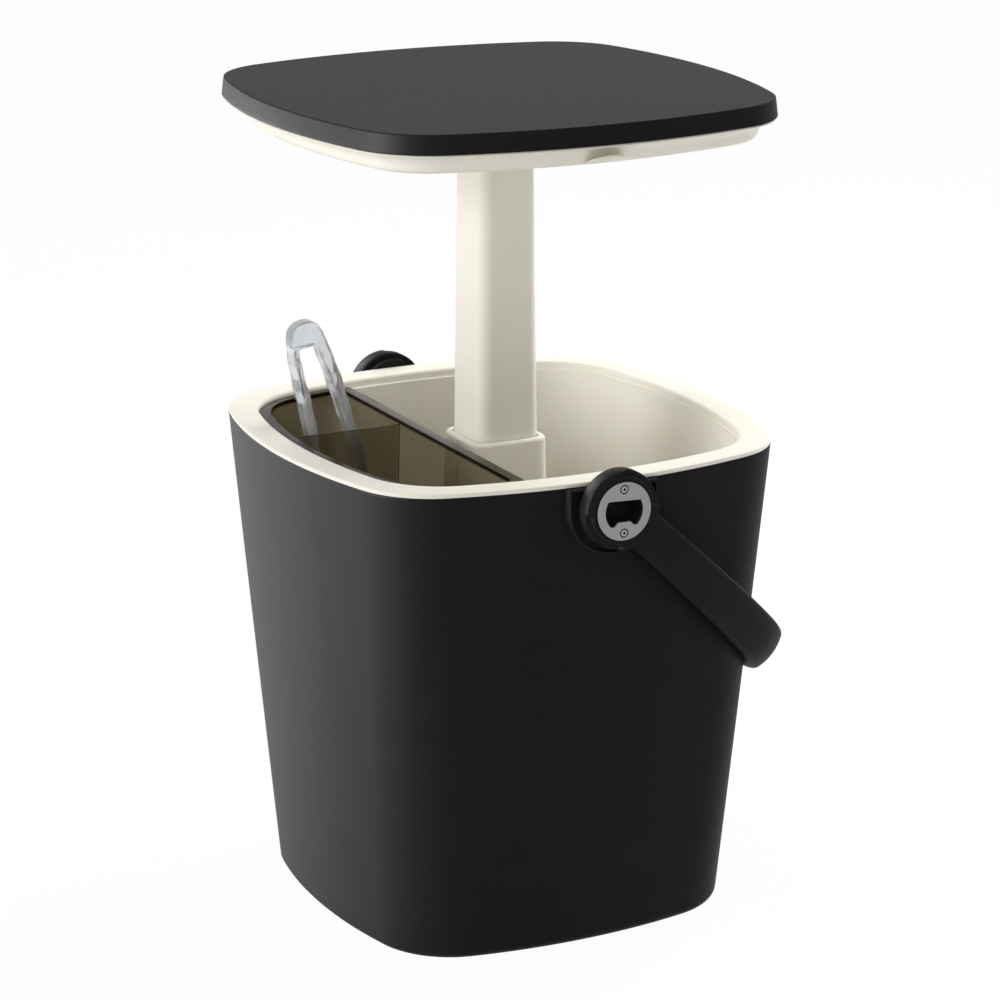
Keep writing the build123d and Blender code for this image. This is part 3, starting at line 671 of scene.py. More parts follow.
def plate_mesh(
    name: str, outlines: Sequence[Sequence[Sequence[float]]], thick: float, edge: float
) -> Mesh:
    """Fill flat outlines to a plate with softened edges.

    Args:
        name: Name of the mesh.
        outlines: The outer line, then the holes.
        thick: Thickness along Z, half of it on each side of the plane.
        edge: Radius of the edges.

    Returns:
        The mesh, with its seams merged.
    """
    seam = 2e-6
    curve = bpy.data.curves.new(name, "CURVE")
    curve.dimensions = "2D"
    curve.fill_mode = "BOTH"
    curve.extrude = thick / 2 - edge
    curve.bevel_depth = edge
    curve.bevel_resolution = 2
    curve.offset = -edge
    for outline in outlines:
        spline = curve.splines.new("POLY")
        spline.points.add(len(outline) - 1)
        for point, (x, y) in zip(spline.points, outline):
            point.co = (x, y, 0, 1)
        spline.use_cyclic_u = True
    drawn = new_object(f"{name}_outline", curve)
    mesh = evaluated_mesh(drawn)
    bpy.data.objects.remove(drawn)
    bpy.data.curves.remove(curve)
    made = bmesh.new()
    made.from_mesh(mesh)
    bmesh.ops.remove_doubles(made, verts=made.verts, dist=seam)
    bmesh.ops.recalc_face_normals(made, faces=made.faces)
    made.to_mesh(mesh)
    made.free()
    return mesh


def set_plate(mesh: Mesh, right: Vector, up: Vector, place: Sequence[float]) -> None:
    """Turn a flat plate's X and Y to two directions, and move it to its place."""
    turn = Matrix((right, up, right.cross(up))).transposed().to_4x4()
    mesh.transform(Matrix.Translation(place) @ turn)


@dataclass(frozen=True)
class Station:
    """One cross-section of a swept strip."""

    centre: Vector
    thick: Vector
    wide: Vector
    half_thick: float
    half_wide: float
    edge: float
    bow: float
    face_points: int = 8
    edge_points: int = 5

    def ring(self) -> Ring:
        """Return the points of a rounded rectangle whose outer face may be bowed.

        Returns:
            The points.
        """
        flat = self.half_wide - self.edge
        low, high = (self.half_thick, -flat), (self.half_thick, flat)
        places = [tuple(place) for place in line_points(low, high, self.face_points)]
        for quarter, (across, along) in enumerate(((1, 1), (-1, 1), (-1, -1), (1, -1))):
            for step in range(self.edge_points + 1):
                angle = QUARTER * (quarter + step / self.edge_points)
                out = across * (self.half_thick - self.edge) + self.edge * math.cos(angle)
                places.append((out, along * flat + self.edge * math.sin(angle)))
        places.pop()
        points = []
        for out, side in places:
            back = self.bow * (side / self.half_wide) ** 2 if out > 0 else 0.0
            points.append(self.centre + self.thick * (out - back) + self.wide * side)
        return points


class Dresser:
    """Gives pieces their material and body, files them by slot, and logs them."""

    def __init__(self) -> None:
        """Build each finish once."""
        self.materials = {slot: finish.make() for slot, finish in FINISHES.items()}
        self.pieces: dict[Slot, list[Object]] = {slot: [] for slot in Slot}

    def paint(self, shown: Object, slot: Slot) -> None:
        """Give an object one finish and nothing else."""
        shown.data.materials.clear()
        shown.data.materials.append(self.materials[slot])

    def dress(self, piece: Object, slot: Slot, body: Body, *nodes: str) -> None:
        """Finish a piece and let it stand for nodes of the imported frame.

        Args:
            piece: The finished object.
            slot: Material slot it takes its finish from.
            body: Body it moves with.
            nodes: Nodes that it is shown for.
        """
        self.paint(piece, slot)
        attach(piece, body.value)
        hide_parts(*nodes)
        self.pieces[slot].append(piece)
        LOG.info("%s: %d faces, %s", piece.name, len(piece.data.polygons), slot.value)

    def dress_copy(self, name: str, slot: Slot, body: Body, node: str) -> None:
        """Finish a smooth copy of a node."""
        self.dress(cad_copy(node, name), slot, body, node)

    def dress_node(self, node: str, slot: Slot) -> None:
        """Finish a node that is shown as it is.

        Args:
            node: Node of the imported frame.
            slot: Material slot it takes its finish from.
        """
        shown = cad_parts[node]
        self.paint(shown, slot)
        LOG.info("%s: shown as packed, %s", node, slot.value)


@dataclass
class Tub:
    """Dark shell, cream liner with its rim, and the socket that stands in the liner."""

    rim: Bow = Bow(0.170, 0.423, 0.060)
    rim_top: float = 0.344
    rim_edge: float = 0.0011
    seam: float = 0.0004
    base: Bow = Bow(0.140, 0.414, 0.061)
    foot: float = 0.0015
    foot_edge: float = 0.007
    foot_flat: float = 0.002
    pad_top: float = 0.003
    pad_half: float = 0.1123
    pad_margin: float = 0.01
    shell_top: float = 0.341
    shell_edge: float = 0.0007
    shell_upright: float = 0.002
    wall: float = 0.0025
    floor: float = 0.004
    opening: Bow = Bow(0.1495, 0.417, 0.056)
    mouth_edge: float = 0.0025
    ledge: float = LEDGE_Z
    ledge_width: float = 0.0025
    ledge_edge: float = 0.0002
    ledge_root: float = 0.001
    liner_floor: Bow = Bow(0.122, 0.400, 0.046)
    liner_floor_top: float = 0.048
    liner_edge: float = 0.009
    liner_flat: float = 0.003
    liner_margin: float = 0.030
    wall_rows: int = 8
    round_rows: int = 8

    def shell_at(self, height: float) -> Bow:
        """Return the shell's outline at a height."""
        return self.base.toward(self.rim, (height - self.foot) / (self.shell_top - self.foot))

    def liner_at(self, height: float) -> Bow:
        """Return the liner's inner outline at a height below the ledge."""
        share = (height - self.liner_floor_top) / (self.ledge - self.liner_floor_top)
        return self.liner_floor.toward(self.opening.inset(self.ledge_width), share)

    def shell(self) -> Object:
        """Build the dark outside with its rounded foot and the recess for the pad.

        Returns:
            The shell.
        """
        pad = Bow(self.pad_half, self.base.side, self.base.corner)
        rows = [
            (pad.inset(self.pad_margin), self.pad_top),
            (pad, self.pad_top),
            (pad, self.foot),
            (self.base.inset(self.foot_edge + self.foot_flat), self.foot),
        ]
        for setback, rise in reversed(edge_steps(self.foot_edge, self.round_rows)):
            height = self.foot + rise
            rows.append((self.shell_at(height).inset(setback), height))
        low, high = self.foot + self.foot_edge, self.shell_top - self.shell_upright
        rows += [(self.shell_at(height), height) for height in climb(low, high, self.wall_rows)]
        rows += edge_rows(self.rim, self.shell_top, self.shell_edge, steps=3)
        inner = self.foot + self.floor
        rows.append((self.rim.inset(self.wall), self.shell_top))
        rows.append((self.shell_at(inner).inset(self.wall), inner))
        return bowed("tub_shell", rows)

    def liner(self) -> Object:
        """Build the cream inside, its ledge and the rim that lies on the shell.

        Returns:
            The liner.
        """
        floor = self.liner_floor_top
        rows = [
            (self.liner_floor.inset(self.liner_margin), floor),
            (self.liner_floor.inset(self.liner_edge + self.liner_flat), floor),
        ]
        for setback, rise in reversed(edge_steps(self.liner_edge, self.round_rows)):
            height = floor + rise
            rows.append((self.liner_at(height).inset(setback), height))
        low, high = floor + self.liner_edge, self.ledge - self.ledge_edge
        rows += [(self.liner_at(height), height) for height in climb(low, high, self.wall_rows)]
        lip = self.opening.inset(self.ledge_width)
        rows.append((lip.inset(-self.ledge_edge), self.ledge))
        rows.append((self.opening.inset(self.seam), self.ledge))
        rows.append((self.opening, self.ledge + self.seam))
        for setback, drop in edge_steps(self.mouth_edge):
            rows.append((self.opening.inset(-setback), self.rim_top - drop))
        rows += reversed(edge_rows(self.rim, self.rim_top, self.rim_edge, steps=5))
        outside = self.opening.inset(-self.wall)
        under = self.ledge - self.wall
        bottom = floor - self.wall
        rows += [
            (self.rim, self.shell_top + self.seam),
            (self.rim.inset(self.seam), self.shell_top),
            (outside, self.shell_top),
            (outside, under),
            (lip.inset(-self.wall), under - self.ledge_root),
            (self.liner_at(bottom).inset(-self.wall), bottom),
        ]
        return bowed("tub_liner", rows)

    def build(self, dresser: Dresser) -> None:
        """Build and dress the tub.

        Args:
            dresser: Gives the pieces their finish.
        """
        dresser.dress(self.shell(), Slot.DARK, Body.TUB, "outer_shell")
        dresser.dress(self.liner(), Slot.CREAM, Body.TUB, "inner_liner")
        dresser.dress_copy("sleeve", Slot.CREAM, Body.TUB, "column_sleeve")
        dresser.dress_copy("guide_ring", Slot.GUIDE, Body.TUB, "sleeve_guide")
        dresser.dress_node("base_pad", Slot.RUBBER)
        dresser.dress_node("insulation", Slot.FOAM)
        dresser.dress_node("sleeve_nut_plate", Slot.STEEL)


@dataclass
class Table:
    """Table top, the cream tray under it and the column that carries both."""

    low: Bow = Bow(0.170, 0.430, 0.061)
    draft: float = 0.0015
    low_z: float = 0.5677
    top_z: float = 0.581
    edge: float = 0.0009
    face_insets: Pair = (0.0015, 0.012)
    side_rows: int = 4
    lip_edge: float = 0.0008
    under_insets: Pair = (0.0045, 0.0015)
    under_rise: float = 0.0001
    tray_back: float = 0.0012
    tray_inset: float = 0.0131
    tray_lean: float = 0.0040
    tray_ring: float = 0.0072
    tray_deep: float = 0.0147
    tray_edge: float = 0.0008
    tray_rows: int = 30
    tray_crowding: float = 1.5
    tray_sharp: float = 38.0
    tray_points: tuple[int, int, int] = (40, 16, 200)
    panel_t: float = 0.0025
    panel_insets: Pair = (0.012, 0.002)
    flange_t: float = 0.0015
    flange_edge: tuple[Pair, ...] = (
        (0.0004, 0.0014),
        (0.0007, 0.0011),
        (0.0004, 0.0005),
        (-0.0002, 0.0),
    )
    flange_inset: float = 0.03
    bead_r: float = 0.0035
    cove_r: float = 0.0075
    dent_half: float = 0.0136
    dent_deep: float = 0.0010
    dent_start: float = 0.3
    dent_round: float = 0.75
    lip_half: float = 0.0136
    lip_long: float = 0.0128
    lip_root: float = 0.0030
    lip_out: float = 0.0018
    lip_slope: float = 23.0
    lip_up: float = 0.0022
    lip_t: float = 0.0016
    lip_edge_r: float = 0.0005
    lip_steps: int = 40
    column_low: float = 0.264
    column_high: float = COLUMN_TOP
    column_foot: Bow = Bow(0.0249, 20.0, 0.010)
    column_head: Bow = Bow(0.0217, 20.0, 0.010)
    column_wall: float = 0.0026
    column_rows: int = 8
    column_points: tuple[int, int] = (6, 10)

    def top(self) -> Object:
        """Build the dark top with its upright edge.

        Returns:
            The table top.
        """
        high = self.low.inset(self.draft)
        far, near = self.under_insets
        rows = [
            (self.low.inset(far), self.low_z + self.under_rise),
            (self.low.inset(near), self.low_z),
        ]
        for setback, rise in reversed(edge_steps(self.lip_edge, steps=4)):
            rows.append((self.low.inset(setback), self.low_z + rise))
        for step in range(1, self.side_rows):
            share = step / self.side_rows
            rows.append((self.low.toward(high, share), between(self.low_z, self.top_z, share)))
        rows += edge_rows(high, self.top_z, self.edge, steps=8)
        rows += [(high.inset(self.edge + more), self.top_z) for more in self.face_insets]
        return bowed("table_slab", rows)

    def side_out(self, height: float) -> float:
        """Return how far the tray's side lies outside its foot.

        Args:
            height: Height above the tray's lower face.

        Returns:
            The distance.
        """
        tall = self.tray_deep - self.flange_t
        out = self.tray_lean * height / tall
        if height < self.bead_r:
            out += math.sqrt(self.bead_r**2 - (self.bead_r - height) ** 2) - self.bead_r
        rise = max(0.0, height - (tall - self.cove_r))
        return out + self.cove_r - math.sqrt(max(0.0, self.cove_r**2 - rise**2))

    def side_ring(self, share: float) -> Ring:
        """Return the points of one line along the tray's side.

        Args:
            share: From 0 at the lower face to 1 at the flange.

        Returns:
            The points, pressed in where the finger dent is.
        """
        height = (self.tray_deep - self.flange_t) * share
        base = self.low.inset(self.tray_back + self.tray_inset - self.side_out(height))
        deep = self.dent_deep * math.sin(math.pi * between(self.dent_start, 1.0, share))
        points = base.ring(self.low_z - self.tray_deep + height, *self.tray_points)
        for point in points:
            across = abs(point.x) / self.dent_half
            if point.y < 0 and across < 1:
                point.y += deep * (1 - across**2) ** self.dent_round
        return points

    def finger_lip(self) -> Mesh:
        """Build the half-moon lip at the tray's lower edge, to lift the table by.

        Returns:
            The lip, which slants out and up.
        """
        angles = [math.pi * step / self.lip_steps for step in range(self.lip_steps + 1)]
        outline = [(-self.lip_half, -self.lip_root), (self.lip_half, -self.lip_root)]
        outline += [(self.lip_half * math.cos(a), self.lip_long * math.sin(a)) for a in angles]
        mesh = plate_mesh("finger_lip", [outline], self.lip_t, self.lip_edge_r)
        slope = math.radians(self.lip_slope)
        out = Vector((0, -math.cos(slope), math.sin(slope)))
        front = self.low.half - self.tray_back - self.tray_inset
        place = (0, -front - self.lip_out, self.low_z - self.tray_deep + self.lip_up)
        set_plate(mesh, Vector((1, 0, 0)), out, place)
        return mesh

    def tray(self) -> Object:
        """Build the cream underside with its flange, bead, finger dent and finger lip.

        Returns:
            The tray.
        """
        flange = self.low.inset(self.tray_back)
        under = flange.inset(self.tray_inset + self.tray_ring)
        low = self.low_z - self.tray_deep
        panel = self.low_z - self.panel_t
        below = [(under.inset(inset), panel) for inset in self.panel_insets]
        below.append((under, panel - self.tray_edge))
        below.append((under, low + self.tray_edge))
        below.append((under.inset(-self.tray_edge), low))
        over = [(flange.inset(-out), self.low_z - drop) for out, drop in self.flange_edge]
        over.append((flange.inset(self.flange_inset), self.low_z))
        rings = [bow.ring(height, *self.tray_points) for bow, height in below]
        for step in range(self.tray_rows + 1):
            rings.append(self.side_ring((step / self.tray_rows) ** self.tray_crowding))
        rings += [bow.ring(height, *self.tray_points) for bow, height in over]
        made = skin(rings)
        lip = self.finger_lip()
        made.from_mesh(lip)
        bpy.data.meshes.remove(lip)
        return finish_mesh("tray", made, self.tray_sharp)

    def column(self) -> Object:
        """Build the square column, a little narrower at the top.

        Returns:
            The column.
        """
        foot, head = self.column_foot, self.column_head
        rows = []
        for step in range(self.column_rows + 1):
            share = step / self.column_rows
            height = between(self.column_low, self.column_high, share)
            rows.append((foot.toward(head, share), height))
        rows.append((head.inset(self.column_wall), self.column_high))
        rows.append((foot.inset(self.column_wall), self.column_low))
        return bowed("column", rows, self.column_points, closed=True)

    def build(self, dresser: Dresser) -> None:
        """Build and dress the table.

        Args:
            dresser: Gives the pieces their finish.
        """
        dresser.dress(self.top(), Slot.DARK, Body.TABLE, "table_top", "lid_core")
        dresser.dress(self.tray(), Slot.CREAM, Body.TABLE, "lid_tray")
        dresser.dress(self.column(), Slot.CREAM, Body.TABLE, "column_tube")
        dresser.dress_copy("head_plate", Slot.CREAM, Body.TABLE, "column_head")
        dresser.dress_copy("guide_shoe", Slot.GUIDE, Body.TABLE, "column_shoe")
        dresser.dress_node("shoe_pins", Slot.STEEL)


@dataclass
class Hub:
    """One eye of the handle on its spigot, seen from outside."""

    side: Side
    outer: float = 0.0274
    face: float = 0.0234
    plain_face: float = 0.45
    inner_reach: float = 0.1752
    step_reach: float = 0.1840
    face_reach: float = 0.1872
    ring_in: float = 0.0239
    recess_reach: float = 0.1791
    plate: float = 0.0203
    plate_floor: float = 0.1857
    bore: float = 0.01805
    edge: float = 0.0009
    edge_mid: float = 0.0003
    ledge_edge: float = 0.0010
    cove: float = 0.0005
    cove_mid: float = 0.0001
    cove_up: float = 0.0004
    mouth_edge: float = 0.0007
    mouth_mid: float = 0.0002
    fade: float = 4.0
    points: int = 144

    def profile(self, stepped: float) -> list[Pair]:
        """Return radius and reach round the eye's section.

        Args:
            stepped: 1 where the face has a lower ledge round it, 0 where it runs to the edge.

        Returns:
            The points of the closed section.
        """
        top = self.face_reach
        ledge = between(top, self.step_reach, stepped)
        mid = between(self.outer, self.face, between(self.plain_face, 1.0, stepped))
        return [
            (self.ring_in, self.inner_reach),
            (self.outer - self.edge, self.inner_reach),
            (self.outer - self.edge_mid, self.inner_reach + self.edge_mid),
            (self.outer, self.inner_reach + self.edge),
            (self.outer, ledge - self.ledge_edge),
            (self.outer - self.edge_mid, ledge - self.edge_mid),
            (self.outer - self.ledge_edge, ledge),
            (mid + self.cove, ledge),
            (mid + self.cove_mid, ledge + self.cove_up * stepped),
            (mid, top - self.edge * stepped),
            (mid - self.edge_mid, top - self.edge_mid * stepped),
            (mid - self.edge, top),
            (self.plate + self.mouth_edge, top),
            (self.plate + self.mouth_mid, top - self.mouth_mid),
            (self.plate, top - self.mouth_edge),
            (self.plate, self.plate_floor),
            (self.bore, self.plate_floor),
            (self.bore, self.recess_reach),
            (self.ring_in, self.recess_reach),
        ]

    def stepped_at(self, degrees: float) -> float:
        """Return how fully the ledge shows at a clock angle from twelve."""
        turn = degrees % 180
        return max(0.0, min(1.0, turn / self.fade, (90 - turn) / self.fade))

    def eye(self, made: BMesh) -> None:
        """Add the eye to the handle's mesh.

        Args:
            made: Mesh of the handle.
        """
        centre = Vector((0, 0, PIVOT_Z))
        along = Vector((0, self.side.value, 0))
        rings = []
        for step in range(self.points):
            degrees = 360 * step / self.points
            angle = math.radians(degrees)
            out = Vector((math.sin(angle), 0, math.cos(angle)))
            section = self.profile(self.stepped_at(degrees))
            rings.append([centre + out * radius + along * reach for radius, reach in section])
        skin(rings, closed=True, into=made)


@dataclass
class Bracket:
    """Pad with a shallow pocket on the tub's wall, and the spigot that the eye turns on."""

    side: Side
    radius: float = 0.0333
    top: float = 0.3405
    root: float = 0.1640
    face: float = 0.174
    edge: float = 0.0006
    rim: float = 0.0016
    rim_edge: Pair = (0.0004, 0.0005)
    pocket: float = 0.1702
    pocket_draft: float = 0.0006
    pocket_margin: float = 0.005
    collar: float = 0.0233
    collar_root: float = 0.001
    collar_reach: float = 0.178
    spigot: float = 0.018
    spigot_reach: float = SPIGOT_END
    cavity: float = 0.0142
    cavity_reach: float = 0.174
    leg_points: int = 6
    bend_points: int = 40
    top_points: int = 12
    round_points: int = 72
    sharp: float = 30.0

    def along_axis(self, points: Ring, reach: float) -> Ring:
        """Return flat points, across and up, at a reach along the pivot axis."""
        return [Vector((point.x, self.side.value * reach, point.y)) for point in points]

    def pad_ring(self, inset: float, reach: float) -> Ring:
        """Return the points of the U-shaped pad at a reach along the pivot axis.

        Args:
            inset: How far the outline is moved in.
            reach: Place along the axis.

        Returns:
            The points.
        """
        radius, top = self.radius - inset, self.top - inset
        points = line_points((-radius, top), (-radius, PIVOT_Z), self.leg_points)
        points += arc_points((0, PIVOT_Z), radius, math.pi, TURN, self.bend_points)
        points += line_points((radius, PIVOT_Z), (radius, top), self.leg_points)
        points += line_points((radius, top), (-radius, top), self.top_points)
        return self.along_axis(points, reach)

    def make(self) -> Object:
        """Build the pad, collar and spigot.

        Returns:
            The bracket.
        """
        steps = [(0.0, self.root)]
        steps += [(setback, self.face - drop) for setback, drop in edge_steps(self.edge, 3)]
        edge_in, edge_down = self.rim_edge
        steps += [
            (self.rim, self.face),
            (self.rim + edge_in, self.face - edge_down),
            (self.rim + self.pocket_draft, self.pocket),
            (self.rim + self.pocket_margin, self.pocket),
        ]
        made = skin([self.pad_ring(*step) for step in steps])
        rings = []
        for radius, reach in (
            (self.collar, self.pocket - self.collar_root),
            (self.collar, self.collar_reach),
            (self.spigot, self.collar_reach),
            (self.spigot, self.spigot_reach),
            (self.cavity, self.spigot_reach),
            (self.cavity, self.cavity_reach),
        ):
            outline = circle(radius, self.round_points, (0, PIVOT_Z))
            rings.append(self.along_axis(outline, reach))
        skin(rings, into=made)
        return finish_mesh(f"bracket_{self.side.name.lower()}", made, self.sharp)


@dataclass
class Handle:
    """Bail of flat strap with an eye at each end."""

    drop: float = 42.2
    spigot_face: float = SPIGOT_END
    start: float = 0.0225
    reach: float = 0.237
    arm_r: float = 0.435
    corner_r: float = 0.088
    bar_r: float = 0.345
    arm_points: int = 34
    corner_points: int = 26
    bar_points: int = 26
    thick: float = 0.008
    hub_half: float = 0.0137
    bar_half: float = 0.0164
    flare_at: float = 0.165
    edge: float = 0.003
    bar_swell: float = 0.0018
    bar_bow: float = 0.0036
    screw_end: float = 0.1695
    sharp: float = 40.0

    def line(self) -> list[tuple[Vector, Vector]]:
        """Lay out the strap's middle line in its own plane.

        Returns:
            Points from one eye to the other, each with the way out from it.
        """
        inset = self.thick / 2
        arm_c = Vector((0, self.spigot_face - self.arm_r))
        bar_c = Vector((self.reach - self.bar_r, 0))
        from_arm = self.arm_r - self.corner_r
        from_bar = self.bar_r - self.corner_r
        apart = (bar_c - arm_c).length
        along = (from_arm**2 - from_bar**2 + apart**2) / (2 * apart)
        aside = math.sqrt(from_arm**2 - along**2)
        toward = (bar_c - arm_c) / apart
        corner_c = arm_c + toward * along + Vector((toward.y, -toward.x)) * aside
        arm_end = math.atan2(corner_c.y - arm_c.y, corner_c.x - arm_c.x)
        bar_end = math.atan2(corner_c.y - bar_c.y, corner_c.x - bar_c.x)
        first = math.acos(self.start / (self.arm_r - inset))
        half = []
        for centre, radius, begin, end, count in (
            (arm_c, self.arm_r, first, arm_end, self.arm_points),
            (corner_c, self.corner_r, arm_end, bar_end, self.corner_points),
            (bar_c, self.bar_r, bar_end, 0.0, self.bar_points),
        ):
            for out in arc_points((0, 0), 1.0, begin, end, count):
                half.append((centre + out * (radius - inset), out))
        middle = [(Vector((self.reach - inset, 0)), Vector((1, 0)))]
        other = [(Vector((p.x, -p.y)), Vector((n.x, -n.y))) for p, n in reversed(half)]
        return half + middle + other

    def bail(self) -> Object:
        """Build the strap and its two eyes.

        Returns:
            The bail, hanging at its rest angle.
        """
        drop = math.radians(self.drop)
        along = Vector((math.cos(drop), 0, -math.sin(drop)))
        wide = Vector((math.sin(drop), 0, math.cos(drop)))
        across = Vector((0, 1, 0))
        pivot = Vector((0, 0, PIVOT_Z))
        rings = []
        for point, out in self.line():
            share = min(1.0, max(0.0, point.x / self.flare_at))
            full = share**3
            station = Station(
                centre=pivot + along * point.x + across * point.y,
                thick=along * out.x + across * out.y,
                wide=wide,
                half_thick=self.thick / 2 + self.bar_swell * full,
                half_wide=between(self.hub_half, self.bar_half, share),
                edge=self.edge,
                bow=self.bar_bow * full,
            )
            rings.append(station.ring())
        made = skin(rings)
        for side in Side:
            Hub(side).eye(made)
        return finish_mesh("bail", made, self.sharp)

    def wall_screws(self) -> Object:
        """Copy the screws behind the brackets, so short that they end inside the pads.

        Returns:
            The screws.
        """
        made = cad_copy("bracket_screws", "bracket_screw_set")
        for vert in made.data.vertices:
            vert.co.y = max(-self.screw_end, min(self.screw_end, vert.co.y))
        return made

    def build(self, dresser: Dresser) -> None:
        """Build and dress the handle and its brackets.

        Args:
            dresser: Gives the pieces their finish.
        """
        dresser.dress(self.bail(), Slot.DARK, Body.HANDLE, "handle_bail")
        dresser.dress(self.wall_screws(), Slot.SCREW, Body.TUB, "bracket_screws")
        for side in Side:
            name = side.name.lower()
            dresser.dress(Bracket(side).make(), Slot.DARK, Body.TUB, f"pivot_bracket_{name}")
            dresser.dress_node(f"washer_{name}", Slot.GUIDE)


@dataclass
class Opener:
    """Round steel plate with the mouth that lifts a crown cap, and the plain cap at the back."""

    face_in: float = SPIGOT_END
    thick: float = 0.002
    radius: float = 0.020
    round_points: int = 120
    hole: float = 0.014
    hole_up: float = 0.0077
    hole_down: float = 0.010
    hole_points: int = 16
    tooth_half: float = 0.0046
    tooth_high: float = 0.0027
    screw_at: float = 0.015
    screw_hole: float = 0.0031
    screw_points: int = 32
    edge: float = 0.0002
    sharp: float = 25.0

    def mouth(self) -> Ring:
        """Draw the opening as it is seen from outside, with up as Y.

        Returns:
            The outline's points.
        """
        up = math.asin(self.hole_up / self.hole)
        down = math.asin(self.hole_down / self.hole)
        low, tip = -self.hole_down, self.tooth_high - self.hole_down
        foot = self.tooth_half + self.tooth_high
        points = arc_points((0, 0), self.hole, -down, up, self.hole_points)
        points += arc_points((0, 0), self.hole, math.pi - up, math.pi + down, self.hole_points)
        for x, y in (
            (-math.cos(down) * self.hole, low),
            (-foot, low),
            (-self.tooth_half, tip),
            (self.tooth_half, tip),
            (foot, low),
        ):
            points.append(Vector((x, y)))
        return points

    def disc(self, name: str, side: Side, holes: Sequence[Ring] = ()) -> Object:
        """Build a round plate with softened edges.

        Args:
            name: Name of the plate.
            side: End of the pivot axis it sits on.
            holes: Openings besides the two for its screws.

        Returns:
            The plate, in place.
        """
        outlines = [circle(self.radius, self.round_points)]
        for place in (self.screw_at, -self.screw_at):
            outlines.append(circle(self.screw_hole, self.screw_points, (0, place)))
        mesh = plate_mesh(name, [*outlines, *holes], self.thick, self.edge)
        reach = side.value * (self.face_in + self.thick / 2)
        right, up = Vector((-side.value, 0, 0)), Vector((0, 0, 1))
        set_plate(mesh, right, up, (0, reach, PIVOT_Z))
        smooth(mesh, self.sharp)
        return new_object(name, mesh)

    def build(self, dresser: Dresser) -> None:
        """Build and dress both plates.

        Args:
            dresser: Gives the pieces their finish.
        """
        opener = self.disc("opener", Side.FRONT, [self.mouth()])
        dresser.dress(opener, Slot.STEEL, Body.TUB, "opener_plate")
        dresser.dress(self.disc("back_cap", Side.BACK), Slot.DARK, Body.TUB, "hub_cap")


@dataclass
class Caddy:
    """Smoked insert with two compartments that hangs on the liner's ledge."""

    mouth: Bow = Bow(0.1407, 0.4082, 0.0472)
    bar: float = -0.056
    nook: float = 0.006
    nook_least: float = 0.0015
    nook_share: float = 0.5
    ledge: float = LEDGE_Z
    low: float = 0.261
    low_edge: float = 0.003
    low_margin: float = 0.006
    floor: float = CADDY_FLOOR
    floor_edge: float = 0.004
    floor_margin: float = 0.008
    wall: float = 0.002
    wall_rows: int = 4
    draft: float = 0.006
    bar_draft: float = 0.0025
    flange: float = 0.0085
    flange_top: float = 0.341
    flange_foot: float = 0.0005
    flange_outer: tuple[Pair, ...] = ((0.0, 0.0008), (0.0003, 0.0002), (0.0009, 0.0))
    flange_inner: tuple[Pair, ...] = ((0.0006, 0.0), (0.0001, 0.0004))
    flange_deep: float = 0.002
    divider_y: float = 0.040
    divider_root: float = 0.0005
    divider_sunk: float = 0.0008
    divider_edge: Pair = (0.0006, 0.0008)

    def ring(self, wall_in: float, bar_in: float, height: float) -> Ring:
        """Return the outline moved in by different amounts at the wall and at the bar."""
        nook = max(self.nook_least, self.nook - max(0.0, wall_in) * self.nook_share)
        return self.mouth.inset(wall_in).clipped_ring(height, self.bar - bar_in, nook)

    def inside(self, height: float) -> Pair:
        """Return the insets of the inner wall and bar at a height."""
        share = (self.flange_top - height) / (self.flange_top - self.floor)
        return self.draft * share, self.bar_draft * share

    def outside(self, height: float) -> Pair:
        """Return the insets of the outer wall and bar at a height."""
        share = (self.flange_top - height) / (self.flange_top - self.low)
        return self.draft * share - self.wall, self.bar_draft * share - self.wall

    def basin(self, made: BMesh) -> None:
        """Add the walls, the floor and the stepped flange.

        Args:
            made: Mesh to add to.
        """
        top = self.flange_top
        wall, bar = self.outside(self.low)
        rows = [(wall + self.low_margin, bar + self.low_margin, self.low)]
        for setback, rise in reversed(edge_steps(self.low_edge, steps=4)):
            rows.append((wall + setback, bar + setback, self.low + rise))
        rows.append((*self.outside(self.ledge), self.ledge))
        brim = [
            (self.flange - self.flange_foot, self.ledge),
            (self.flange, self.ledge + self.flange_foot),
        ]
        brim += [(self.flange - back, top - drop) for back, drop in self.flange_outer]
        brim += [(out, top - drop) for out, drop in self.flange_inner]
        rows += [(-out, -out, height) for out, height in brim]
        upper, lower = top - self.flange_deep, self.floor + self.floor_edge
        rows += [(*self.inside(z), z) for z in climb(upper, lower, self.wall_rows)]
        wall, bar = self.inside(self.floor)
        for setback, rise in edge_steps(self.floor_edge, steps=5)[1:]:
            rows.append((wall + setback, bar + setback, self.floor + rise))
        rows.append((wall + self.floor_margin, bar + self.floor_margin, self.floor))
        skin([self.ring(*row) for row in rows], into=made)

    def divider(self, made: BMesh) -> None:
        """Add the upright wall between the two compartments.

        Args:
            made: Mesh to add to.
        """
        half = self.wall / 2
        edge_in, edge_down = self.divider_edge
        rings = []
        for height, thick in (
            (self.floor - self.divider_root, half),
            (self.ledge - edge_down, half),
            (self.ledge, half - edge_in),
        ):
            wall_in, bar_in = self.inside(height)
            left = -self.mouth.inset(wall_in).reach(self.divider_y) - self.divider_sunk
            right = self.bar - bar_in + self.divider_sunk
            near, far = self.divider_y - thick, self.divider_y + thick
            corners = ((left, near), (right, near), (right, far), (left, far))
            rings.append([Vector((x, y, height)) for x, y in corners])
        skin(rings, into=made)

    def build(self, dresser: Dresser) -> None:
        """Build and dress the caddy.

        Args:
            dresser: Gives the piece its finish.
        """
        made = bmesh.new()
        self.basin(made)
        self.divider(made)
        dresser.dress(finish_mesh("caddy_basin", made), Slot.SMOKED, Body.TUB, "caddy")


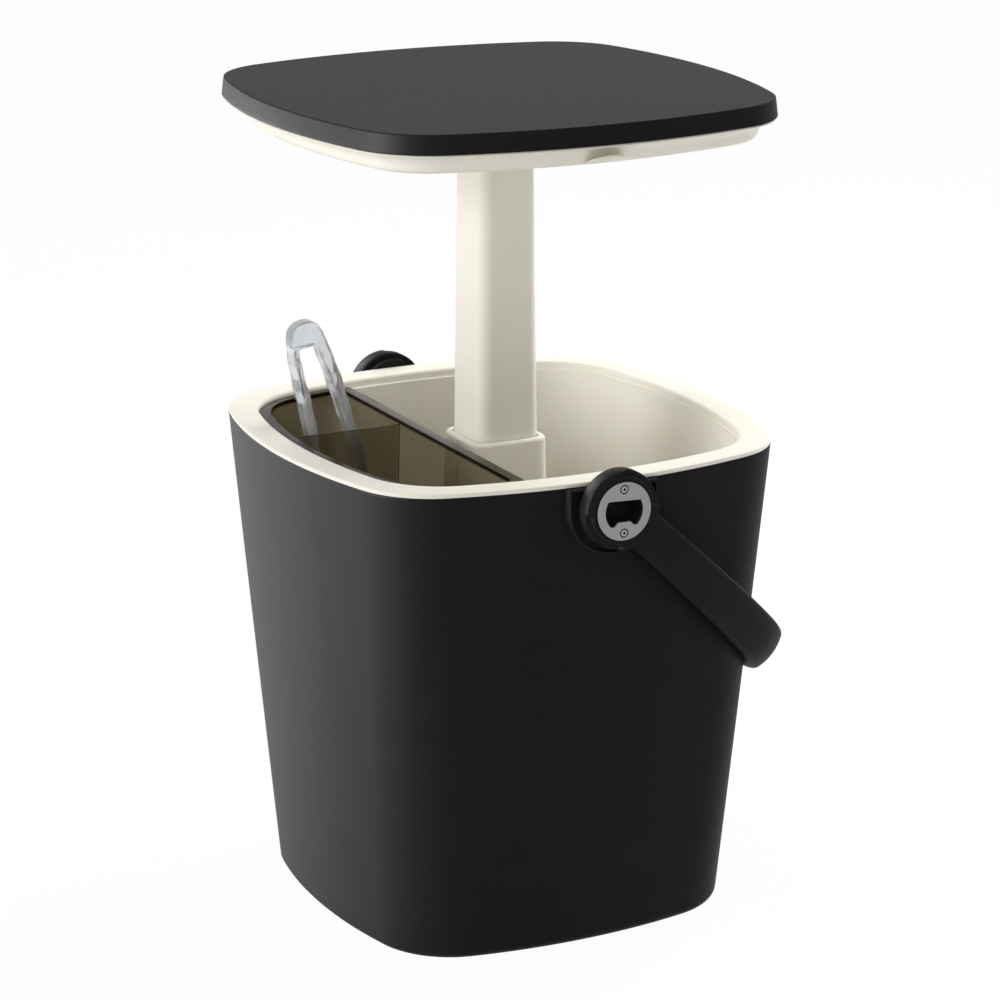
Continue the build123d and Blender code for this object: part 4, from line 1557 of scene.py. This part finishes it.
@dataclass
class Tongs:
    """Clear tongs moulded in one piece, with a solid spring bend and wavy arms.

    The four tables give half widths at depths below the crown.
    """

    x: float = -0.1205
    y: float = 0.062
    stands_on: float = CADDY_FLOOR
    clearance: float = 0.0003
    tilt: float = 13.4
    wide: float = 0.012
    edge: float = 0.0015
    sharp: float = 40.0
    wave: float = 0.00030
    wave_length: float = 0.021
    wave_from: float = 0.018
    wave_grows: float = 0.01
    wave_to: float = 0.145
    wave_fades: float = 0.02
    inner_phase: float = 1.9
    point_gap: float = 0.0015
    least_points: int = 4
    flare: float = 1.45
    flare_at: float = 0.075
    outer: tuple[Pair, ...] = (
        (0.0, 0.0), (0.0006, 0.0044), (0.0030, 0.0086), (0.0080, 0.0117),
        (0.0190, 0.0139), (0.0440, 0.0170), (0.0750, 0.0182), (0.1000, 0.0197),
        (0.1130, 0.0200), (0.1320, 0.0174), (0.1530, 0.0112),
    )
    outer_left: tuple[Pair, ...] = (
        (0.0, 0.0), (0.0006, 0.0044), (0.0030, 0.0086), (0.0080, 0.0117),
        (0.0190, 0.0138), (0.0320, 0.0148), (0.0440, 0.0154), (0.0600, 0.0152),
        (0.0750, 0.0156), (0.1000, 0.0176), (0.1130, 0.0182), (0.1320, 0.0162),
        (0.1530, 0.0112),
    )
    inner: tuple[Pair, ...] = (
        (0.0186, 0.0), (0.0190, 0.0042), (0.0212, 0.0058), (0.0320, 0.0076),
        (0.0460, 0.0094), (0.0750, 0.0122), (0.1000, 0.0140), (0.1130, 0.0144),
        (0.1320, 0.0120), (0.1530, 0.0064),
    )
    inner_left: tuple[Pair, ...] = (
        (0.0186, 0.0), (0.0178, 0.0062), (0.0196, 0.0084), (0.0320, 0.0092),
        (0.0460, 0.0092), (0.0600, 0.0092), (0.0750, 0.0098), (0.1000, 0.0122),
        (0.1130, 0.0130), (0.1320, 0.0112), (0.1530, 0.0064),
    )

    def swing(self, depth: float, phase: float) -> float:
        """Return how far the wave moves an arm's edge.

        Args:
            depth: Depth below the crown.
            phase: Where the wave starts, in radians.

        Returns:
            The distance, which fades out at both ends of the arm.
        """
        grown = max(0.0, (depth - self.wave_from) / self.wave_grows)
        left = max(0.0, (self.wave_to - depth) / self.wave_fades)
        wave = math.sin(depth / self.wave_length * TURN + phase)
        return self.wave * min(1.0, grown, left) * wave

    def edge_line(self, table: Sequence[Pair], phase: float = 0.0) -> list[Pair]:
        """Return a smooth line through a table of half widths.

        Args:
            table: Pairs of depth below the crown and half width.
            phase: Where the wave along the arm starts, in radians.

        Returns:
            Places across and above the crown, from the crown to the tip.
        """
        made = []
        padded = [table[0], *table, table[-1]]
        for knots in zip(padded, padded[1:], padded[2:], padded[3:]):
            length = knots[2][0] - knots[1][0]
            count = max(self.least_points, round(length / self.point_gap))
            for step in range(count):
                t = step / count
                place = []
                for a, b, c, d in zip(*knots):
                    bend = (2 * a - 5 * b + 4 * c - d) * t**2 + (3 * b - a - 3 * c + d) * t**3
                    place.append(b + 0.5 * ((c - a) * t + bend))
                depth, half = place
                made.append((half + self.swing(depth, phase), -depth))
        depth, half = table[-1]
        return [*made, (half, -depth)]

    def outline(self) -> list[Pair]:
        """Draw the whole silhouette, with the crown at the origin.

        Returns:
            The outline's points, across and up.
        """
        right_out = self.edge_line(self.outer)
        right_in = self.edge_line(self.inner, self.inner_phase)
        left_out = self.edge_line(self.outer_left)
        left_in = self.edge_line(self.inner_left, self.inner_phase)
        left = [(-x, y) for x, y in left_in[1:] + left_out[:0:-1]]
        return [*right_out, *reversed(right_in), *left]

    def strip(self) -> Object:
        """Build the tongs standing in the caddy, leaning to its wall.

        Returns:
            The tongs.
        """
        tilt = math.radians(self.tilt)
        right = Vector((math.cos(tilt), 0, math.sin(tilt)))
        up = Vector((-math.sin(tilt), 0, math.cos(tilt)))
        tip_down, tip_out = self.outer[-1]
        tall = tip_down * math.cos(tilt) + tip_out * math.sin(tilt)
        mesh = plate_mesh("ice_tongs", [self.outline()], self.wide, self.edge)
        for vertex in mesh.vertices:
            share = min(1.0, max(0.0, -vertex.co.y / self.flare_at))
            vertex.co.z *= between(1.0, self.flare, share**2 * (3 - 2 * share))
        set_plate(mesh, right, up, (self.x, self.y, self.stands_on + self.clearance + tall))
        smooth(mesh, self.sharp)
        return new_object("ice_tongs", mesh)

    def build(self, dresser: Dresser) -> None:
        """Build and dress the tongs."""
        dresser.dress(self.strip(), Slot.CLEAR, Body.TONGS, "tongs")


@dataclass(frozen=True)
class Screw:
    """Sizes of a screw with a hexagon socket, which shares its proportions with the others."""

    radius: float
    height: float
    shank: float
    shank_length: float
    socket_share: float = 0.8
    socket_rim: float = 1.2
    socket_deep: float = 2.2
    crown: tuple[Pair, ...] = ((1.0, 0.0), (1.0, 0.7), (0.97, 0.9), (0.9, 1.0))
    points: int = 48
    sharp: float = 30.0

    def socket_ring(self, height: float) -> Ring:
        """Return the hexagon's points at a height.

        Args:
            height: Height of the points.

        Returns:
            The points, as many as on the round rings.
        """
        sector = math.pi / 3
        apothem = self.shank * self.socket_share * math.cos(sector / 2)
        ring = []
        for p in circle(1.0, self.points):
            angle = math.atan2(p.y, p.x) % sector - sector / 2
            far = apothem / math.cos(angle)
            ring.append(Vector((p.x * far, p.y * far, height)))
        return ring

    def make(self, name: str) -> Object:
        """Build one screw that points up, with the seat of its head at the origin.

        Args:
            name: Name of the object.

        Returns:
            The screw.
        """
        sizes = [(self.shank, -self.shank_length), (self.shank, 0.0)]
        sizes += [(self.radius * out, self.height * up) for out, up in self.crown]
        sizes.append((self.shank * self.socket_share * self.socket_rim, self.height))
        rings = [lifted(circle(radius, self.points), height) for radius, height in sizes]
        for height in (self.height, self.height - self.height * self.socket_deep):
            rings.append(self.socket_ring(height))
        return finish_mesh(name, skin(rings), self.sharp)


@dataclass
class ScrewSet:
    """Screws of one size, laid out by a node tree."""

    name: str
    node: str
    body: Body
    places: list[Triple]
    axis: Triple
    screw: Screw
    seed: int = 7

    def tree(self) -> GeometryNodeTree:
        """Build the node tree that stands a screw on each point.

        Returns:
            The tree, with inputs for the screw, its axis, the seed and the finish.
        """
        tree = bpy.data.node_groups.new(f"{self.name}_layout", "GeometryNodeTree")
        for label, kind in (
            ("Geometry", "NodeSocketGeometry"),
            ("Screw", "NodeSocketObject"),
            ("Axis", "NodeSocketVector"),
            ("Seed", "NodeSocketInt"),
            ("Finish", "NodeSocketMaterial"),
        ):
            tree.interface.new_socket(label, in_out="INPUT", socket_type=kind)
        tree.interface.new_socket("Geometry", in_out="OUTPUT", socket_type="NodeSocketGeometry")
        graph = Graph(tree)
        given = graph.add("NodeGroupInput").node.outputs
        points = graph.add("GeometryNodeMeshToPoints", {"Mesh": given["Geometry"]})
        screw = graph.add("GeometryNodeObjectInfo", {"Object": given["Screw"]}, "Geometry")
        aim = graph.add("FunctionNodeAlignRotationToVector", {"Vector": given["Axis"]}, axis="Z")
        chance = {"Seed": given["Seed"], 3: TURN}
        angle = graph.add("FunctionNodeRandomValue", chance, output=1, data_type="FLOAT")
        spin = graph.add("FunctionNodeAxisAngleToRotation", {"Angle": angle})
        inputs = {"Rotation": aim, "Rotate By": spin}
        turned = graph.add("FunctionNodeRotateRotation", inputs, rotation_space="LOCAL")
        inputs = {"Points": points, "Instance": screw, "Rotation": turned}
        stood = graph.add("GeometryNodeInstanceOnPoints", inputs)
        real = graph.add("GeometryNodeRealizeInstances", {"Geometry": stood})
        inputs = {"Geometry": real, "Material": given["Finish"]}
        painted = graph.add("GeometryNodeSetMaterial", inputs)
        graph.feed(tree.nodes.new("NodeGroupOutput"), {"Geometry": painted})
        return tree

    def build(self, dresser: Dresser) -> None:
        """Lay the screws out, make them one plain mesh and dress it.

        Args:
            dresser: Gives the screws their finish.
        """
        screw = self.screw.make(f"{self.name}_head")
        mesh = bpy.data.meshes.new(f"{self.name}_points")
        mesh.from_pydata(self.places, [], [])
        host = new_object(self.name, mesh)
        layout = host.modifiers.new("layout", "NODES")
        layout.node_group = self.tree()
        finish = dresser.materials[Slot.SCREW]
        values = {"Screw": screw, "Axis": self.axis, "Seed": self.seed, "Finish": finish}
        for item in layout.node_group.interface.items_tree:
            if item.in_out == "INPUT" and item.name in values:
                layout[item.identifier] = values[item.name]
        real = evaluated_mesh(host)
        host.modifiers.clear()
        host.data = real
        smooth(real, self.screw.sharp)
        bpy.data.objects.remove(screw)
        dresser.dress(host, Slot.SCREW, self.body, self.node)


def square_places(at: float, height: float) -> list[Triple]:
    """Return the four corners of a square at a height."""
    return [(x, y, height) for x in (-at, at) for y in (-at, at)]


def screw_sets() -> list[ScrewSet]:
    """List the sets of screws that are laid out by a node tree.

    Returns:
        The sets.
    """
    plate_at, plate_seat = 0.015, 0.1868
    sleeve_at, sleeve_seat = 0.039, 0.052
    head_at, tray_at, tray_seat = 0.032, 0.112, 0.5652
    up, down = (0, 0, 1), (0, 0, -1)
    small = Screw(radius=0.0024, height=0.0013, shank=0.0013, shank_length=0.0078)
    sleeve, head, tray = (
        Screw(radius=0.0038, height=0.0020, shank=0.0019, shank_length=length)
        for length in (0.0125, 0.0115, 0.0098)
    )
    sets = []
    for name, side in (("opener", Side.FRONT), ("cap", Side.BACK)):
        node = "opener_screws" if side is Side.FRONT else "hub_cap_screws"
        seat = side.value * plate_seat
        places = [(0, seat, PIVOT_Z + rise) for rise in (plate_at, -plate_at)]
        axis = (0, side.value, 0)
        sets.append(ScrewSet(f"{name}_screw_pair", node, Body.TUB, places, axis, small))
    for name, body, at, seat, axis, screw in (
        ("sleeve", Body.TUB, sleeve_at, sleeve_seat, up, sleeve),
        ("head", Body.TABLE, head_at, COLUMN_TOP, down, head),
        ("tray", Body.TABLE, tray_at, tray_seat, down, tray),
    ):
        places = square_places(at, seat)
        sets.append(ScrewSet(f"{name}_screw_set", f"{name}_screws", body, places, axis, screw))
    return sets


@dataclass(frozen=True)
class Lamp:
    """A soft light with a flat face."""

    name: str
    place: Triple
    aim: Triple
    size: Pair
    power: float
    matte: bool = False

    def hang(self, sheen_on: Sequence[Object] = ()) -> None:
        """Hang the light.

        Args:
            sheen_on: Pieces on which it shows as a reflection and nothing else, or none for a
                plain light.
        """
        data = bpy.data.lights.new(self.name, "AREA")
        data.shape = "RECTANGLE"
        data.size, data.size_y = self.size
        data.energy = self.power
        hung = new_object(self.name, data)
        face(hung, Vector(self.place), Vector(self.aim))
        hung.visible_glossy = not self.matte
        if sheen_on:
            hung.visible_diffuse = False
            hung.visible_transmission = False
            lit = bpy.data.collections.new(f"{self.name}_lit")
            for piece in sheen_on:
                lit.objects.link(piece)
            hung.light_linking.receiver_collection = lit
            hung.light_linking.blocker_collection = lit


def face(hung: Object, place: Vector, aim: Vector) -> None:
    """Put a light or camera at a place and turn it to a point."""
    hung.location = place
    hung.rotation_euler = (aim - place).to_track_quat("-Z", "Y").to_euler()


@dataclass
class Studio:
    """Pale floor, soft lights and the camera."""

    azimuth: float = -26.91
    elevation: float = 16.7
    distance: float = 2.5739
    target: Vector = field(default_factory=lambda: Vector((0, 0, 0.2621)))
    aside: float = 0.00327
    above: float = 0.0222
    lens: float = 130.8
    sensor: float = 36.0
    view_end: float = 50.0
    floor_half: float = 9.0
    floor_low: Colour = (0.80, 0.80, 0.80, 1)
    floor_high: Colour = (0.82, 0.82, 0.82, 1)
    floor_cells: float = 3.0
    floor_rough: float = 0.9
    floor_specular: float = 0.1
    floor_glow: float = 0.97
    sky_light: float = 0.37
    plain_lamps: tuple[Lamp, ...] = (
        Lamp("key", (-3.7, 0.4, 1.4), (0, 0, 0.35), (2.4, 1.8), 94.0),
        Lamp("top", (-0.3, 0.2, 2.6), (0, 0, 0.3), (2.0, 2.0), 6.0),
        Lamp("front", (-0.6, -2.6, 1.5), (0, 0, 0.35), (1.4, 1.4), 6.0),
        Lamp("fill", (2.0, 0.6, 1.75), (0, 0, 0.3), (1.4, 1.4), 66.0, matte=True),
    )
    dark_lamps: tuple[Lamp, ...] = (
        Lamp("sheen_back", (-1.35, 1.93, -0.10), (0, 0, 0.30), (1.8, 0.7), 98.0),
        Lamp("sheen_side", (-2.3, 0.0, 0.45), (0, 0, 0.35), (1.4, 0.9), 240.0),
    )
    hub_lamps: tuple[Lamp, ...] = (
        Lamp("hub_front", (-1.6, -1.2, 1.6), (0, -0.18, 0.33), (1.0, 1.0), 150.0),
        Lamp("hub_back", (-0.7, 1.95, 1.3), (0, -0.18, 0.33), (1.0, 1.0), 60.0),
    )

    def floor(self) -> None:
        """Lay the floor, which is white to the camera and keeps the shadow."""
        made = bmesh.new()
        bmesh.ops.create_grid(made, x_segments=2, y_segments=2, size=self.floor_half)
        laid = finish_mesh("floor", made)
        look = Surface("pale_floor")
        tone = look.spread(look.noise(self.floor_cells))
        look.shade(
            Base_Color=look.tint(tone, self.floor_low, self.floor_high),
            Roughness=self.floor_rough,
            Specular_IOR_Level=self.floor_specular,
        )
        glow = look.add("ShaderNodeEmission", {"Strength": 1.0})
        inputs = {0: look.seen(), 1: self.floor_glow}
        share = look.add("ShaderNodeMath", inputs, operation="MULTIPLY")
        plain = look.shader.outputs["BSDF"]
        mixed = look.add("ShaderNodeMixShader", {0: share, 1: plain, 2: glow})
        look.feed(look.result, {"Surface": mixed})
        laid.data.materials.append(look.material)

    def sky(self) -> None:
        """Make the background white where it is seen and a soft grey as light."""
        world = bpy.data.worlds.new("studio")
        bpy.context.scene.world = world
        world.use_nodes = True
        graph = Graph(world.node_tree)
        inputs = {"Value": graph.seen(), "To Min": self.sky_light, "To Max": 1.0}
        strength = graph.add("ShaderNodeMapRange", inputs)
        background = graph.tree.nodes["Background"]
        graph.feed(background, {"Color": (1, 1, 1, 1), "Strength": strength})

    def camera(self) -> None:
        """Set the camera to the photograph's angle."""
        az = math.radians(self.azimuth)
        el = math.radians(self.elevation)
        back = Vector((math.sin(az) * math.cos(el), -math.cos(az) * math.cos(el), math.sin(el)))
        right = Vector((math.cos(az), math.sin(az), 0))
        data = bpy.data.cameras.new("camera")
        data.lens = self.lens
        data.sensor_width = self.sensor
        data.clip_end = self.view_end
        eye = new_object("camera", data)
        aim = self.target + right * self.aside + back.cross(right) * self.above
        face(eye, self.target + back * self.distance, aim)
        bpy.context.scene.camera = eye

    def build(self, dresser: Dresser) -> None:
        """Set up the whole studio.

        Args:
            dresser: Knows the dark pieces, which the sheen lights model.
        """
        dark = dresser.pieces[Slot.DARK]
        hubs = [piece for piece in dark if piece.name.startswith(("bail", "bracket"))]
        self.floor()
        self.sky()
        for lamps, lit in ((self.plain_lamps, ()), (self.dark_lamps, dark), (self.hub_lamps, hubs)):
            for lamp in lamps:
                lamp.hang(lit)
        self.camera()
        bpy.context.scene.view_settings.view_transform = "Standard"


def main() -> None:
    """Build every piece, then the studio."""
    logging.basicConfig(level=logging.INFO, format="%(message)s")
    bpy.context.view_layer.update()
    dresser = Dresser()
    for part in (Tub(), Table(), Handle(), Opener(), Caddy(), Tongs(), *screw_sets()):
        LOG.info("building %s", type(part).__name__)
        part.build(dresser)
    Studio().build(dresser)


if __name__ == "__main__":
    main()
